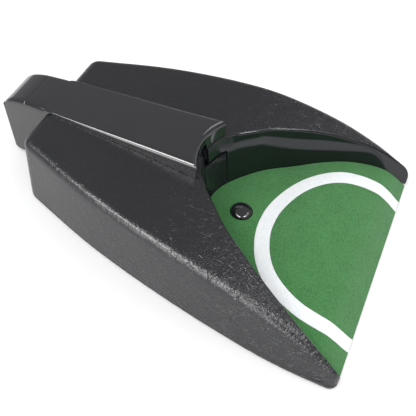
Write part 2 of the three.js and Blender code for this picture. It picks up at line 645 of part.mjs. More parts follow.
add('top_shell', topShell(), 'crinkleBlack');
add('base_plate', basePlate(), 'plainBlack');
add('bridge_cover', bridgeCover(), 'glossBlack');
add('ramp_plate', rampPlate(), 'plainBlack');
add('turf', turf(), 'green');
add('target_line', targetLine(), 'white');

[...BODY_SCREWS, TAIL_SCREW].flatMap(bothSides).forEach(([x, y], i) => {
  add(`base_screw_${i + 1}`, baseScrew(x, y), 'steel');
});
FEET.flatMap(bothSides).forEach(([x, y], i) => {
  add(`foot_${i + 1}`, barZ(x, y, FOOT.radius, 0, FOOT.height, 24), 'rubber');
});

add('trigger_button', triggerButton(), 'glossBlack');
add('button_spring', coil(3.4, 0.3, 8, 4).translate(0, BUTTON_Y, FLOOR + 0.1), 'steel');
add('switch_body', block([20.4, BUTTON_Y - 5, FLOOR], [31, BUTTON_Y + 5, 6.2]), 'plainBlack');
add('switch_lever', block([8.6, BUTTON_Y - 2, 4.5], [20, BUTTON_Y + 2, 4.9]), 'brass');

add('kicker', kicker(), 'glossBlack');
add('kicker_pin', barX(PIVOT.y, PIVOT.z, PIN_RADIUS, LEFT_PLATE[0], RIGHT_PLATE[1]), 'steel');
const kickerSpring = coil(3.6, 0.35, 9, 5).rotateY(Math.PI / 2);
add('kicker_spring', kickerSpring.translate(7, PIVOT.y, PIVOT.z), 'steel');
add('stop_post', barX(163.8, 34, 2, LEFT_PLATE[1] + GAP, RIGHT_PLATE[0] - GAP), 'steel');
[[172, 12], [204, 12]].forEach(([y, z], i) => {
  add(`frame_post_${i + 1}`, barX(y, z, 2.5, LEFT_PLATE[1] + GAP, RIGHT_PLATE[0] - GAP), 'framePlastic');
});
add('drive_plate_left', sidePlate(LEFT_PLATE, 236), 'framePlastic');
add('drive_plate_right', sidePlate(RIGHT_PLATE, 262), 'framePlastic');

add('cam', cam(), 'gearWhite');
add('cam_gear', gear(WHEEL_TEETH, CAM_Y, CAM_PLANE, 0), 'gearWhite');
add('second_gear', compoundGear(SECOND_Y, SECOND_PLANE, CAM_PLANE), 'gearWhite');
add('first_gear', compoundGear(FIRST_Y, FIRST_PLANE, SECOND_PLANE), 'gearWhite');
[['cam_shaft', CAM_Y], ['second_shaft', SECOND_Y], ['first_shaft', FIRST_Y]].forEach(([name, y]) => {
  add(name, barX(y, AXIS_Z, PIN_RADIUS, LEFT_PLATE[0], RIGHT_PLATE[1]), 'steel');
});
add('motor_can', motorCan(), 'steel');
add('motor_cap', barX(MOTOR_Y, AXIS_Z, MOTOR.flat, -15, MOTOR.from - GAP, 32), 'plainBlack');
add('motor_bracket', motorBracket(), 'framePlastic');
const motorPinion = gear(PINION_TEETH, MOTOR_Y, FIRST_PLANE, 0.5, 0.9);
const motorShaft = barX(MOTOR_Y, AXIS_Z, 1, MOTOR_PLATE[1] + GAP, FIRST_PLANE[1] + 0.6);
add('motor_pinion', motorPinion.add(motorShaft), 'brass');
MOTOR_SCREWS.heights.forEach((z, i) => {
  const head = barX(MOTOR_SCREWS.y, z, 1.8, MOTOR_PLATE[1] + 0.1, MOTOR_PLATE[1] + 1.1, 16);
  add(`motor_screw_${i + 1}`, head, 'steel');
});

add('battery_box', batteryBox(), 'plainBlack');
CELL_ROWS.forEach((y, i) => add(`cell_${i + 1}`, cell(y, i % 2 ? -1 : 1), 'cell'));
[['contact_left', -1], ['contact_right', 1]].forEach(([name, side]) => {
  const low = Math.min(side * 26.3, side * 26.7);
  add(name, block([low, 216, 6], [low + 0.4, 274, 16]), 'steel');
});
add('battery_door', batteryDoor(), 'plainBlack');

add('control_board', controlBoard(), 'board');
add('power_inlet', inlet(), 'plainBlack');
add('power_switch_body', block([-8, SWITCH.from, SWITCH.z - 4], [8, SWITCH.to, SWITCH.z + 4]), 'plainBlack');
add('power_switch_knob', block([-4.8, SWITCH.to + GAP, SWITCH.z - 2], [-0.8, 331.8, SWITCH.z + 2]), 'plainBlack');

export default group;
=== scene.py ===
"""An automatic putting cup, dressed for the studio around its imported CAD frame.

Lengths in the classes are in metres. Distances "along" count from the housing's front edge; the frame's
origin is the middle of the footprint on the floor, the mouth faces -Y and +Z is up.
"""

from __future__ import annotations

import json
import logging
import math
from dataclasses import dataclass
from enum import Enum
from typing import Callable, Iterable, Sequence, Union

import bpy
from mathutils import Matrix, Vector

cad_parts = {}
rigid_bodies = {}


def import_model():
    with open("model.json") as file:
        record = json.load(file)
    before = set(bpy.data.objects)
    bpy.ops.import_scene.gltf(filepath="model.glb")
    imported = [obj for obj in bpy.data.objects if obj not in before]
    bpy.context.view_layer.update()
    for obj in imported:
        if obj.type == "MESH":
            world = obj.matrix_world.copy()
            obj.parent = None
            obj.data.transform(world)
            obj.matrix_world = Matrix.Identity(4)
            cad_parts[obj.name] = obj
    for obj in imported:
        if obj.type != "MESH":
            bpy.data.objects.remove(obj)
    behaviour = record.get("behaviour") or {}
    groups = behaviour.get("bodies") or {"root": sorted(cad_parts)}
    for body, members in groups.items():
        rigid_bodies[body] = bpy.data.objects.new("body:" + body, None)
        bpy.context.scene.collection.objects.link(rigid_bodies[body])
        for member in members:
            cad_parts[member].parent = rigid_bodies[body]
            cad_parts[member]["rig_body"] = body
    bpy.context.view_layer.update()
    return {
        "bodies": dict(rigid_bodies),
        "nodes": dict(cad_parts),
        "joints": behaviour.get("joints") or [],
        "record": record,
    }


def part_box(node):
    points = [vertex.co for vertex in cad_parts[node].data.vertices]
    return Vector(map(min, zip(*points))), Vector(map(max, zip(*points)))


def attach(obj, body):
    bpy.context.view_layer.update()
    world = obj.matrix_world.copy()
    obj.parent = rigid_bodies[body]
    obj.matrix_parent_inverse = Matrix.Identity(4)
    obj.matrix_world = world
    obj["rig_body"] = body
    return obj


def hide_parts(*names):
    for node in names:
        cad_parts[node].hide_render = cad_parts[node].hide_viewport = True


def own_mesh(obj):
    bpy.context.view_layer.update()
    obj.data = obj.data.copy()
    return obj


LOG = logging.getLogger("putting_cup")
MM = 0.001
LENGTH = 333.6 * MM
BODY_LENGTH = 291.6 * MM
SEAM_GAP = 1e-7
ABOVE_ALL = 95 * MM

Pairs = Sequence[tuple[float, float]]
Colour = tuple[float, float, float]
Place = Callable[[float, float], Vector]


# ------------------------------------------------------------------ curves


def metres(pairs: Pairs) -> list[tuple[float, float]]:
    """Pairs of millimetres as pairs of metres."""
    return [(a * MM, b * MM) for a, b in pairs]


def smooth(pairs: Pairs, position: float) -> float:
    """The value at a position on a smooth curve through [position, value] pairs.

    Args:
        pairs: The points of the curve, in order of position.
        position: Where it is read; it is held within the pairs.

    Returns:
        The curve's value there.
    """
    last = len(pairs) - 1
    s = min(max(position, pairs[0][0]), pairs[last][0])
    i = 0
    while i < last - 1 and s > pairs[i + 1][0]:
        i += 1

    def slope(k: int) -> float:
        """The curve's slope at one of its points."""
        low, high = pairs[max(k - 1, 0)], pairs[min(k + 1, last)]
        return (high[1] - low[1]) / (high[0] - low[0])

    span = pairs[i + 1][0] - pairs[i][0]
    u = (s - pairs[i][0]) / span
    blend = u * u * (3 - 2 * u)
    rise = (u - 2 * u * u + u**3) * slope(i) + (u**3 - u * u) * slope(i + 1)
    return pairs[i][1] * (1 - blend) + pairs[i + 1][1] * blend + rise * span


def spline(points: Pairs, t: float) -> Vector:
    """A point of the even spline through some points.

    Args:
        points: The points it goes through.
        t: How far along it, from 0 to 1.

    Returns:
        The point.
    """
    last = len(points) - 1
    place = min(max(t, 0.0), 1.0) * last
    i = min(int(place), last - 1)
    w = place - i
    p0, p1, p2, p3 = (Vector(points[min(max(k, 0), last)]) for k in (i - 1, i, i + 1, i + 2))
    v0, v1 = (p2 - p0) / 2, (p3 - p1) / 2
    return (2 * (p1 - p2) + v0 + v1) * w**3 + (3 * (p2 - p1) - 2 * v0 - v1) * w**2 + v0 * w + p1


def spread(low: float, high: float, count: int) -> list[float]:
    """Evenly spaced values from low to high, both included."""
    return [low + (high - low) * k / count for k in range(count + 1)]


def ease(low: float, high: float, value: float) -> float:
    """0 up to low, 1 from high on, and smooth between."""
    u = min(max((value - low) / (high - low), 0.0), 1.0)
    return u * u * (3 - 2 * u)


def pick(values: Sequence[float], u: float) -> float:
    """The value at the part u of a list, straight between its entries.

    Args:
        values: The list.
        u: How far along it, from 0 to 1.

    Returns:
        The value.
    """
    place = u * (len(values) - 1)
    i = min(int(place), len(values) - 2)
    return values[i] + (values[i + 1] - values[i]) * (place - i)


# ------------------------------------------------------------------ the bench: operators on meshes


def deselect() -> None:
    """Leaves object mode's selection empty."""
    if bpy.context.object and bpy.context.object.mode != "OBJECT":
        bpy.ops.object.mode_set(mode="OBJECT")
    bpy.ops.object.select_all(action="DESELECT")


def work_on(obj: bpy.types.Object) -> None:
    """Makes obj the only selected and active object.

    Args:
        obj: The object.
    """
    deselect()
    obj.select_set(True)
    bpy.context.view_layer.objects.active = obj


def edit(obj: bpy.types.Object, *steps: Callable[[], object]) -> None:
    """Runs edit-mode operators on obj, with everything selected at the start.

    Args:
        obj: The mesh object.
        steps: Calls that run in order.
    """
    work_on(obj)
    bpy.ops.object.mode_set(mode="EDIT")
    bpy.ops.mesh.select_mode(type="VERT")
    bpy.ops.mesh.select_all(action="SELECT")
    for step in steps:
        step()
    bpy.ops.object.mode_set(mode="OBJECT")


def close_open_edges() -> None:
    """Fills the holes of the mesh in edit mode and turns its faces outwards."""
    bpy.ops.mesh.select_all(action="DESELECT")
    bpy.ops.mesh.select_non_manifold(extend=False)
    bpy.ops.mesh.fill_holes(sides=0)
    bpy.ops.mesh.select_all(action="SELECT")
    bpy.ops.mesh.normals_make_consistent(inside=False)


def weave(name: str, columns: int, rows: int, place: Place) -> bpy.types.Object:
    """A solid made from a grid primitive: its corners are drawn to their places, its seam and ends closed.

    Args:
        name: The new object's name.
        columns: Faces round the shape, u from 0 to 1.
        rows: Faces along it, v from 0 to 1.
        place: The place of the point (u, v).

    Returns:
        The mesh object, at the origin.
    """
    deselect()
    bpy.ops.mesh.primitive_grid_add(x_subdivisions=columns, y_subdivisions=rows, size=2)
    obj = bpy.context.object
    obj.name = obj.data.name = name
    for vertex in obj.data.vertices:
        vertex.co = place((vertex.co.x + 1) / 2, (vertex.co.y + 1) / 2)
    edit(obj, lambda: bpy.ops.mesh.remove_doubles(threshold=SEAM_GAP), close_open_edges)
    return obj


def loft(name: str, rings: Sequence[Sequence[Vector]]) -> bpy.types.Object:
    """A solid over closed cross-sections that have the same number of points.

    Args:
        name: The new object's name.
        rings: The cross-sections, in order.

    Returns:
        The mesh object, at the origin.
    """
    columns, rows = len(rings[0]) - 1, len(rings) - 1
    return weave(name, columns, rows, lambda u, v: rings[round(v * rows)][round(u * columns)])


def carve(obj: bpy.types.Object, tool: bpy.types.Object, operation: str = "DIFFERENCE") -> None:
    """Cuts obj with a tool, or keeps only what they share.

    Args:
        obj: The piece.
        tool: The cutter, which is removed.
        operation: DIFFERENCE, or INTERSECT to keep what lies in the tool.
    """
    work_on(obj)
    cut = obj.modifiers.new("cut", "BOOLEAN")
    cut.object, cut.operation, cut.solver = tool, operation, "EXACT"
    bpy.ops.object.modifier_apply(modifier=cut.name)
    bpy.data.objects.remove(tool)


def bevel(obj: bpy.types.Object, width: float, segments: int = 2, angle: float = 35) -> None:
    """Rounds the sharp edges of obj.

    Args:
        obj: The piece.
        width: Width of the rounding in metres.
        segments: Its steps.
        angle: Edges that turn by more than this, in degrees, are rounded.
    """
    work_on(obj)
    soft = obj.modifiers.new("rounding", "BEVEL")
    soft.width, soft.segments, soft.limit_method = width, segments, "ANGLE"
    soft.angle_limit, soft.use_clamp_overlap, soft.miter_outer = math.radians(angle), True, "MITER_ARC"
    bpy.ops.object.modifier_apply(modifier=soft.name)


def polish(obj: bpy.types.Object, angle: float = 40) -> None:
    """Shades obj smooth, except over edges sharper than an angle in degrees."""
    work_on(obj)
    bpy.ops.object.shade_smooth_by_angle(angle=math.radians(angle))


def block(name: str, low: Sequence[float], high: Sequence[float]) -> bpy.types.Object:
    """A box between two corners, to cut with.

    Args:
        name: The new object's name.
        low: Its lowest corner.
        high: Its highest corner.

    Returns:
        The box.
    """
    deselect()
    middle = [(a + b) / 2 for a, b in zip(low, high)]
    bpy.ops.mesh.primitive_cube_add(size=1, location=middle, scale=[b - a for a, b in zip(low, high)])
    obj = bpy.context.object
    obj.name = name
    bpy.ops.object.transform_apply(location=True, rotation=True, scale=True)
    return obj


def turned(name: str, profile: Pairs, along: float, sides: int) -> bpy.types.Object:
    """A solid turned about an upright axis in the middle plane.

    Args:
        name: The new object's name.
        profile: (radius, height) pairs that start and end on the axis.
        along: The axis's distance from the front edge.
        sides: Faces round it.

    Returns:
        The solid.
    """
    centre = Vector((0, row(along), 0))

    def place(u: float, v: float) -> Vector:
        """A point of the turned skin.

        Args:
            u: How far round, from 0 to 1.
            v: How far along the profile, from 0 to 1.

        Returns:
            The point.
        """
        radius = pick([r for r, _ in profile], v)
        height = pick([h for _, h in profile], v)
        return centre + Vector((radius * math.sin(math.tau * u), radius * math.cos(math.tau * u), height))

    return weave(name, sides, len(profile) - 1, place)


def row(along: float) -> float:
    """The frame's Y at a distance from the front edge."""
    return along - LENGTH / 2


def settle(obj: bpy.types.Object, node: str, body: str) -> bpy.types.Object:
    """Puts a finished piece on its body, in place of its CAD node, and logs it.

    Args:
        obj: The piece.
        node: The CAD node it stands for.
        body: The body it rides on.

    Returns:
        The piece.
    """
    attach(obj, body)
    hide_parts(node)
    LOG.info("%s: %d faces, rides on %s", obj.name, len(obj.data.polygons), body)
    return obj


# ------------------------------------------------------------------ shader values and finishes


Value = Union["Socket", float]


class Socket:
    """A shader value; arithmetic on it adds Math nodes."""

    def __init__(self, tree: "Tree", link: bpy.types.NodeSocket) -> None:
        """Wraps an output socket of a tree."""
        self.tree, self.link = tree, link

    def _math(self, operation: str, first: Value, second: Value) -> "Socket":
        """One Math node on two values."""
        return self.tree.add("ShaderNodeMath", {"operation": operation}, {0: first, 1: second})

    def __add__(self, other: Value) -> "Socket":
        """Sum."""
        return self._math("ADD", self, other)

    __radd__ = __add__

    def __mul__(self, other: Value) -> "Socket":
        """Product."""
        return self._math("MULTIPLY", self, other)

    __rmul__ = __mul__

    def __sub__(self, other: Value) -> "Socket":
        """Difference."""
        return self._math("SUBTRACT", self, other)

    def __rsub__(self, other: Value) -> "Socket":
        """Difference from a number."""
        return self._math("SUBTRACT", other, self)

    def __abs__(self) -> "Socket":
        """Size without sign."""
        return self._math("ABSOLUTE", self, 0.0)

    def between(self, low: float, high: float) -> "Socket":
        """A smooth step between two values.

        Args:
            low: The value that gives 0.
            high: The value that gives 1; it may be the lower of the two.

        Returns:
            The eased value.
        """
        settings = {"interpolation_type": "SMOOTHSTEP"}
        flipped = low > high
        values = {0: self, 1: min(low, high), 2: max(low, high), 3: float(flipped), 4: float(not flipped)}
        return self.tree.add("ShaderNodeMapRange", settings, values)


class Tree:
    """The nodes of one material, with its Principled shader."""

    def __init__(self, name: str) -> None:
        """Starts a material with only its shader and output.

        Args:
            name: The material's name.
        """
        self.material = bpy.data.materials.new(name)
        self.material.use_nodes = True
        self.nodes = self.material.node_tree.nodes
        self.shader = self.nodes["Principled BSDF"]
        coordinates = self.nodes.new("ShaderNodeTexCoord")
        self.place = Socket(self, coordinates.outputs["Object"])

    def add(self, kind: str, settings: dict, values: dict, output: Union[int, str] = 0) -> Socket:
        """Adds a node.

        Args:
            kind: The node's type.
            settings: Its own properties, set first.
            values: Numbers, colours or Sockets for its inputs, by number or name.
            output: The output that is wanted.

        Returns:
            That output.
        """
        node = self.nodes.new(kind)
        for key, setting in settings.items():
            setattr(node, key, setting)
        for key, value in values.items():
            if isinstance(value, Socket):
                self.material.node_tree.links.new(value.link, node.inputs[key])
            else:
                node.inputs[key].default_value = value
        return Socket(self, node.outputs[output])

    def stretch(self, scale: Sequence[float]) -> Socket:
        """The place on the piece, stretched along the axes."""
        return self.add("ShaderNodeMapping", {}, {"Vector": self.place, "Scale": scale})

    def noise(self, scale: float, detail: float = 2, roughness: float = 0.5, at: Socket = None) -> Socket:
        """Cloudy noise from 0 to 1, with features about 1/scale metres across."""
        values = {"Vector": at or self.place, "Scale": scale, "Detail": detail, "Roughness": roughness}
        return self.add("ShaderNodeTexNoise", {}, values, "Fac")

    def cells(self, scale: float, feature: str = "F1", at: Socket = None) -> Socket:
        """Distance to the nearest of scattered points, or to the edge between their cells."""
        values = {"Vector": at or self.place, "Scale": scale}
        return self.add("ShaderNodeTexVoronoi", {"feature": feature}, values, "Distance")

    def mix(self, mask: Value, first: Union[Socket, Colour], second: Union[Socket, Colour]) -> Socket:
        """A colour between two, by a mask."""
        first, second = ((*c, 1) if isinstance(c, tuple) else c for c in (first, second))
        return self.add("ShaderNodeMix", {"data_type": "RGBA"}, {0: mask, 6: first, 7: second}, 2)

    def axis(self, letter: str) -> Socket:
        """One coordinate of the place on the piece."""
        return self.add("ShaderNodeSeparateXYZ", {}, {0: self.place}, letter)

    def mark(self, name: str) -> Socket:
        """A mask painted on the mesh."""
        return self.add("ShaderNodeAttribute", {"attribute_name": name}, {}, "Fac")

    def edges(self, radius: float) -> Socket:
        """A mask that rises along edges within a radius.

        Args:
            radius: How wide a worn edge is, in metres.

        Returns:
            The mask.
        """
        rounded = self.add("ShaderNodeBevel", {"samples": 4}, {"Radius": radius})
        flat = self.add("ShaderNodeNewGeometry", {}, {}, "Normal")
        settings = {"operation": "DOT_PRODUCT"}
        likeness = self.add("ShaderNodeVectorMath", settings, {0: rounded, 1: flat}, "Value")
        return likeness.between(0.999, 0.94)

    def relief(self, height: Socket, distance: float, strength: float = 1.0) -> None:
        """Feeds the shader's normal with a bump of a height in metres."""
        bump = self.add("ShaderNodeBump", {}, {"Height": height, "Distance": distance, "Strength": strength})
        self.feed("Normal", bump)

    def feed(self, socket: str, value: Union[Socket, Colour, float]) -> None:
        """Gives one of the shader's sockets its link or constant.

        Args:
            socket: The socket's name.
            value: A Socket to link, or a colour or number to set.
        """
        if isinstance(value, Socket):
            self.material.node_tree.links.new(value.link, self.shader.inputs[socket])
        elif isinstance(value, tuple):
            self.shader.inputs[socket].default_value = (*value, 1)
        else:
            self.shader.inputs[socket].default_value = value

    def dress(self, obj: bpy.types.Object) -> None:
        """Makes this the only material of an object."""
        obj.data.materials.clear()
        obj.data.materials.append(self.material)


class Grain(Enum):
    """How a moulding's surface is textured: feature size in 1/m and depth in metres."""

    SATIN = (900.0, 0.00002)
    SPARK = (1700.0, 0.00006)


@dataclass(frozen=True)
class Moulded:
    """A moulded plastic with a tool grain, faint flow marks and rubbed edges."""

    name: str
    colour: Colour
    roughness: float
    grain: Grain = Grain.SPARK
    edge_radius: float = 0.0004
    edge_lift: float = 1.5

    def make(self) -> Tree:
        """The finish as a material."""
        tree = Tree(self.name)
        flow = tree.noise(35, 3)
        scale, depth = self.grain.value
        fine = tree.noise(scale, 2)
        rubbed = tree.edges(self.edge_radius) * tree.noise(220, 2).between(0.35, 0.65)
        lighter = tuple(min(c * self.edge_lift + 0.004, 1.0) for c in self.colour)
        darker = tuple(c * 0.82 for c in self.colour)
        tree.feed("Base Color", tree.mix(rubbed * 0.6, tree.mix(flow, self.colour, darker), lighter))
        tree.feed("Roughness", flow * 0.08 + fine * 0.06 + rubbed * 0.05 + (self.roughness - 0.07))
        tree.relief(fine, depth, 0.6)
        return tree


@dataclass(frozen=True)
class CrinkleShell:
    """The housing's plastic: a leather-like crinkle outside and a polished wall inside the mouth."""

    name: str = "crinkle_black"
    colour: Colour = (0.0085, 0.0088, 0.0118)
    rubbed: Colour = (0.03, 0.03, 0.034)
    roughness: float = 0.28
    depth: float = 0.45 * MM
    warp: float = 6 * MM

    def make(self) -> Tree:
        """The finish as a material."""
        tree = Tree(self.name)
        outside = 1 - tree.mark("polished")
        nose = tree.axis("Y").between(0.02, -0.1)
        flow = tree.noise(18, 3)
        cloud = {"Vector": tree.place, "Scale": 120.0, "Detail": 2.0}
        push = tree.add("ShaderNodeTexNoise", {}, cloud, "Color")
        warped = tree.add("ShaderNodeVectorMath", {"operation": "MULTIPLY_ADD"},
                          {0: push, 1: (self.warp,) * 3, 2: tree.place})
        worms = abs(tree.noise(190, 1, 0.4, warped) - 0.5).between(0.085, 0.0)
        broken = tree.noise(110, 2, 0.5).between(0.46, 0.56)
        second = abs(tree.noise(330, 1, 0.4, warped) - 0.52).between(0.1, 0.0)
        pebble = tree.cells(560, "SMOOTH_F1", warped)
        ridges = worms * broken * (nose * 0.75 + 0.25) + second * (nose * 0.3 + 0.12)
        skin = ridges + pebble * 0.32 + tree.noise(1300, 2) * 0.2
        touched = outside * (tree.edges(0.0012) * 0.4 + ridges * 0.15)
        tree.feed("Base Color", tree.mix(touched * flow, self.colour, self.rubbed))
        tree.feed("Roughness", outside * (flow * 0.1 + pebble * 0.08 + self.roughness - 0.12 - ridges * 0.08)
                  + flow * 0.03 + 0.07)
        tree.relief(skin * outside + tree.noise(40, 1) * 0.014, self.depth, 0.9)
        tree.feed("Specular IOR Level", 0.55)
        return tree


@dataclass(frozen=True)
class Gloss:
    """A polished black moulding with a faint ripple and fine handling marks."""

    name: str = "gloss_black"
    colour: Colour = (0.0095, 0.0098, 0.0128)
    roughness: float = 0.09
    coat: float = 0.6
    level: float = 0.5

    def make(self) -> Tree:
        """The finish as a material."""
        tree = Tree(self.name)
        haze = tree.noise(30, 4, 0.6)
        scratches = tree.noise(600, 1, 0.4, tree.stretch((1.0, 0.06, 1.0))).between(0.66, 0.8)
        specks = tree.cells(240).between(0.12, 0.04)
        tree.feed("Base Color", tree.mix(haze * 0.5 + specks * 0.25, self.colour, (0.02, 0.02, 0.023)))
        tree.feed("Roughness", haze * 0.05 + scratches * 0.08 + specks * 0.08 + (self.roughness - 0.03))
        tree.relief(tree.noise(45, 1) + scratches * 0.02, 0.00006, 0.5)
        tree.feed("Coat Weight", self.coat)
        tree.feed("Coat Roughness", 0.04)
        tree.feed("Specular IOR Level", self.level)
        return tree


@dataclass(frozen=True)
class Flock:
    """Short upright fibres on a sheet."""

    name: str
    colour: Colour
    shade: Colour
    light: Colour

    def make(self) -> Tree:
        """The finish as a material."""
        tree = Tree(self.name)
        fibres = tree.noise(2600, 2, 0.7)
        tufts = tree.noise(700, 3, 0.6)
        patches = tree.noise(55, 3, 0.55)
        dark = tree.mix(tufts.between(0.56, 0.36), self.colour, self.shade)
        bright = tree.mix(fibres.between(0.52, 0.72) * 0.7, dark, self.light)
        tree.feed("Base Color", tree.mix(patches.between(0.4, 0.7) * 0.16, bright, self.light))
        tree.feed("Roughness", fibres * 0.1 + 0.86)
        tree.relief(fibres * 0.6 + tufts * 0.6 + tree.cells(1500) * 0.4, 0.0005, 0.8)
        tree.feed("Sheen Weight", 0.25)
        tree.feed("Sheen Roughness", 0.6)
        tree.feed("Specular IOR Level", 0.15)
        return tree


@dataclass(frozen=True)
class Metal:
    """Drawn or plated metal with fine lines and dull patches."""

    name: str
    colour: Colour
    roughness: float = 0.28
    lines: tuple[float, float, float] = (0.05, 1.0, 1.0)

    def make(self) -> Tree:
        """The finish as a material."""
        tree = Tree(self.name)
        drawn = tree.noise(1900, 2, 0.6, tree.stretch(self.lines))
        dull = tree.noise(140, 3)
        dim = tuple(c * 0.7 for c in self.colour)
        tree.feed("Base Color", tree.mix(dull.between(0.4, 0.75) * 0.6, self.colour, dim))
        tree.feed("Roughness", drawn * 0.12 + dull * 0.16 + (self.roughness - 0.13))
        tree.feed("Metallic", 1.0)
        tree.relief(drawn, 0.00003, 0.5)
        return tree


@dataclass(frozen=True)
class CellWrap:
    """A battery's printed sleeve: a dark body, a copper-toned end band and bare steel ends."""

    name: str = "cell_wrap"
    colour: Colour = (0.035, 0.05, 0.1)
    band: Colour = (0.55, 0.26, 0.09)
    half_sleeve: float = 0.0236
    band_width: float = 0.011

    def make(self) -> Tree:
        """The finish as a material."""
        tree = Tree(self.name)
        reach = tree.axis("X")
        banded = reach.between(self.half_sleeve - self.band_width, self.half_sleeve - self.band_width + 2e-4)
        bare = abs(reach).between(self.half_sleeve, self.half_sleeve + 2e-4)
        cloud = tree.noise(160, 2)
        sleeve = tree.mix(banded, tree.mix(cloud, self.colour, (0.02, 0.03, 0.07)), self.band)
        tree.feed("Base Color", tree.mix(bare, sleeve, (0.6, 0.6, 0.58)))
        tree.feed("Metallic", bare * 0.9 + 0.05)
        tree.feed("Roughness", cloud * 0.14 + 0.22)
        tree.relief(tree.noise(900, 2), 0.00002, 0.4)
        return tree


@dataclass(frozen=True)
class Board:
    """A lacquered circuit board with faint tracks and pads."""

    name: str = "board_green"
    colour: Colour = (0.012, 0.085, 0.035)

    def make(self) -> Tree:
        """The finish as a material."""
        tree = Tree(self.name)
        tracks = tree.cells(260, "DISTANCE_TO_EDGE").between(0.06, 0.03)
        pads = tree.cells(420).between(0.2, 0.16)
        base = tree.mix(tracks * 0.7, self.colour, (0.02, 0.16, 0.07))
        tree.feed("Base Color", tree.mix(pads * 0.8, base, (0.55, 0.53, 0.5)))
        tree.feed("Roughness", tree.noise(300, 2) * 0.2 + 0.2)
        tree.feed("Metallic", pads * 0.6)
        tree.relief(tracks + pads, 0.00004, 0.5)
        return tree


class Finishes:
    """Every finish of the cup, made once."""

    def __init__(self) -> None:
        """Makes the materials."""
        self.crinkle = CrinkleShell().make()
        self.gloss = Gloss().make()
        self.satin = Gloss("kicker_black", roughness=0.16, coat=0.0, level=0.25).make()
        self.plain = Moulded("plain_black", (0.018, 0.018, 0.02), 0.5).make()
        self.grey = Moulded("frame_grey", (0.24, 0.25, 0.27), 0.5, Grain.SATIN).make()
        self.nylon = Moulded("gear_nylon", (0.74, 0.72, 0.64), 0.42, Grain.SATIN, 0.0003, 1.1).make()
        self.rubber = Moulded("foot_rubber", (0.016, 0.016, 0.016), 0.85, Grain.SPARK, 0.0005, 2.0).make()
        self.green = Flock("green_flock", (0.041, 0.192, 0.046), (0.024, 0.128, 0.028),
                           (0.078, 0.28, 0.084)).make()
        self.white = Flock("white_flock", (0.86, 0.885, 0.9), (0.78, 0.81, 0.84), (0.93, 0.95, 0.96)).make()
        self.steel = Metal("steel", (0.56, 0.57, 0.58)).make()
        self.wire = Metal("spring_steel", (0.42, 0.42, 0.43), 0.34, (1.0, 1.0, 1.0)).make()
        self.brass = Metal("brass", (0.62, 0.42, 0.15), 0.3).make()
        self.wrap = CellWrap().make()
        self.board = Board().make()


# ------------------------------------------------------------------ the housing's shape


class Level(Enum):
    """What a level of the mouth's cutter belongs to."""

    WALL = "wall"
    LIP = "lip"
    FLAT = "flat"


